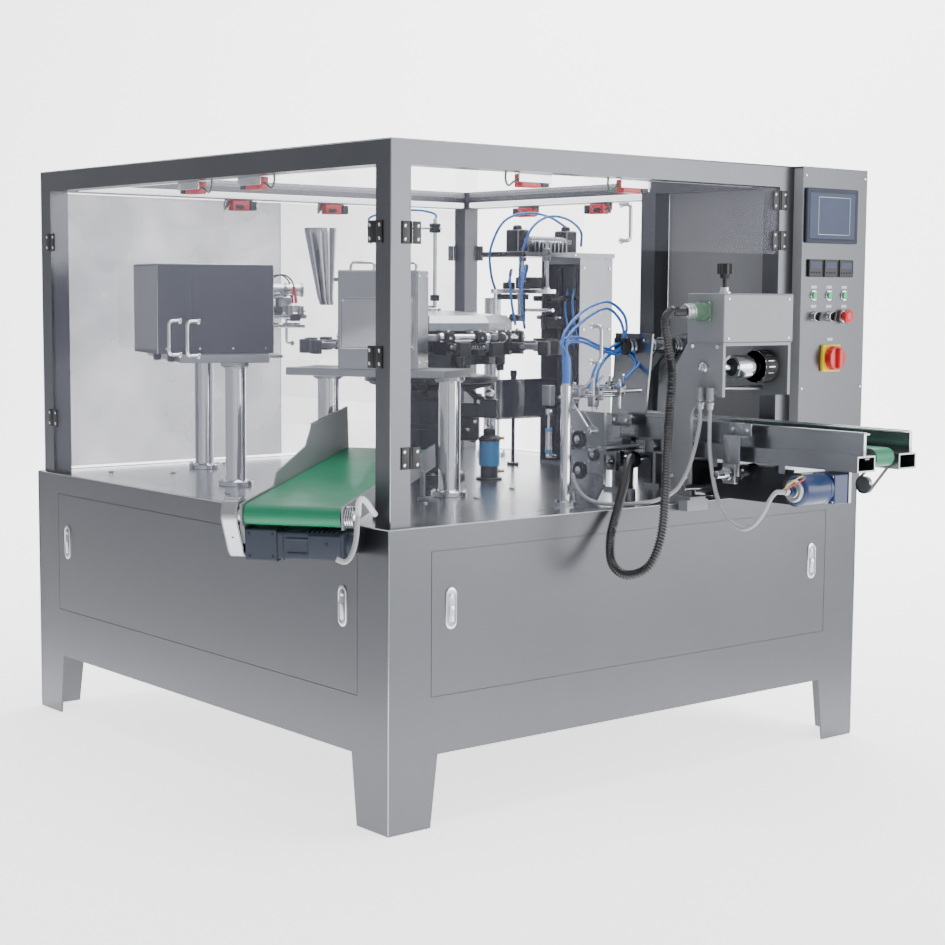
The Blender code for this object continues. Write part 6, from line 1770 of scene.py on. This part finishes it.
def on_exit(shape):
    """A shape drawn along the belt, from the end roller's top, turned and sloped into its place."""
    points, faces = whole(shape)
    return np.asarray(points) @ EXIT_MATRIX.T + EXIT_ZERO, faces


def across(profile, x, y, z, way=-1, sides=36):
    """A turned shape laid across the belt, towards one side."""
    return turned(profile, sides, (x, y, z), (0, way, 0))


# %% End bearings
lobes = [(7.2, -0.8)]
for i in range(4):
    h = i * 5.6
    lobes += [(20.5, h), (26.2, h + 1.2), (27, h + 3), (25.2, h + 4.8), (20.5, h + 5.6)]
lobes += [(16, 26.2), (10, 27.6), (0.1, 27.8)]
shells = [across(lobes[1:], 0, -130.4, AXLE_Z), bar((20, -134.5, AXLE_Z), (52, 8, 34), 2)]
shells.append(across([(8, 0), (25, 0.4), (25, 3.2), (8, 3.4)], 0, 130.2, AXLE_Z, 1))
piece("exit_bearings", on_exit(shells), CHROME)
bolts = [
    across([(0.1, 4.2), (3.4, 4), (4, 0)], x, -138.4, AXLE_Z + s, -1, 16) for x in (34, 43)
    for s in (-10, 10)]
bolts += [
    across([(0.1, 3), (4.2, 2.6), (5, 0)], x, -130.2, z, -1, 18)
    for x, z in ((110, -30), (250, -30), (400, -30))]
piece("exit_bolts", on_exit(bolts), CHROME)

# %% Drive cover: a polished teardrop shell, a seam round its middle and four screws
round_top = np.linspace(0, np.pi, 15)
tilt = math.atan2(34, 100 - 25)
teardrop = [(40.4 * math.cos(a + tilt), AXLE_Z + 40.4 * math.sin(a + tilt)) for a in round_top]
teardrop += [(34 - 40.4 * math.cos(a + tilt), -100 - 40.4 * math.sin(a + tilt)) for a in round_top]
piece("drive_cover", on_exit(plate(teardrop, 133.6, 173.2, "Y", 3)), POLISHED)
seam = [span((-40.8, 133, AXLE_Z - 0.6), (40.8, 172.6, AXLE_Z + 0.6), 0.3)]
piece("drive_cover_seam", on_exit(seam), MILLED)
pins = [across([(0.1, 2.6), (3.4, 2.2), (4, 0)], x, 173.3, z, 1, 18)
        for x, z in ((0, 2), (0, -50), (34, -78), (34, -124))]
under = [screw(3.2, 2.4, (x, y, z), axis) for x, y, z, axis in (
    (-19, 154, -83, (-0.87, 0, -0.49)), (4, 154, -124, (-0.8, 0, -0.6)))]
piece("drive_cover_screws", on_exit([*pins, *under]), CHROME)

# %% Geared motor
FACE_X = -5.2
lines = [bar((34, 45.5, -100), (83.4, 1.2, 79.4), 0.2), bar((40, 30, -100), (91.4, 3, 69.4), 0.4)]
piece("motor_joints", on_exit(lines), BLACK)
proud = [
    bar((FACE_X, -20, -82.5), (8, 86, 6), 1.6), bar((FACE_X - 1, -75, -100), (12, 82, 60), 4),
    bar((FACE_X + 2, -14, -123), (10, 70, 16), 3)]
proud.append(across([(0.1, 22), (18, 20.5), (27, 15), (30, 6), (30, -2)], 40, -121.5, -100, -1, 48))
proud += [bar((40, -30 - i * 12, -65.5), (76, 3.8, 6), 1) for i in range(7)]
piece("exit_motor_details", on_exit(proud), SLATE)
small = [screw(4, 2.6, (FACE_X - 7, -82, -92), LEFT)]
small += [screw(3, 2.2, (-7.2, y, z), LEFT) for y in (56, 116) for z in (-128, -72)]
piece("exit_motor_screws", on_exit(small), BLACK)

# %% Motor hose: corrugated below and a smooth elbow above
LOW_HOSE = (
    (-132, 30, 690), (-114, 20, 683), (-98, 16, 698), (-86, 16, 730), (-80, 18, 765), (-76, 20, 796))
ELBOW = (
    (-76, 20, 790), (-74.5, 21, 808), (-71, 23, 822), (-58, 28, 828), (-42, 32, 818), (-22, 38, 798),
    (-8, 44, 786))
path, shape = ridged(LOW_HOSE, 6.8, 4.2, 0.9)
piece("exit_hose_ridges", shape, GREY_HOSE, sharp=60)
piece("exit_hose_elbow", tube(ELBOW, 7.2, 5, 18), WHITE)
print("motor hose", round(length_of(path) * MM, 3), "m")

# %% Guard edges
edge = [bar((640, 127.5, 115.2), (300, 5.8, 1.2), 0.4), bar((490, -127.5, 50.4), (138, 5.8, 1.2), 0.4)]
piece("guard_edges", on_exit(edge), CHROME)
rims = [
    across([(12, 0), (21.6, 0.4), (21.6, 1.2), (12, 1.6)], 0, y, AXLE_Z, way, 36)
    for y, way in ((-120.2, -1), (120.2, 1))]
piece("exit_roller_rims", on_exit(rims), MILLED, body="discharge_roller")
print("discharge done")
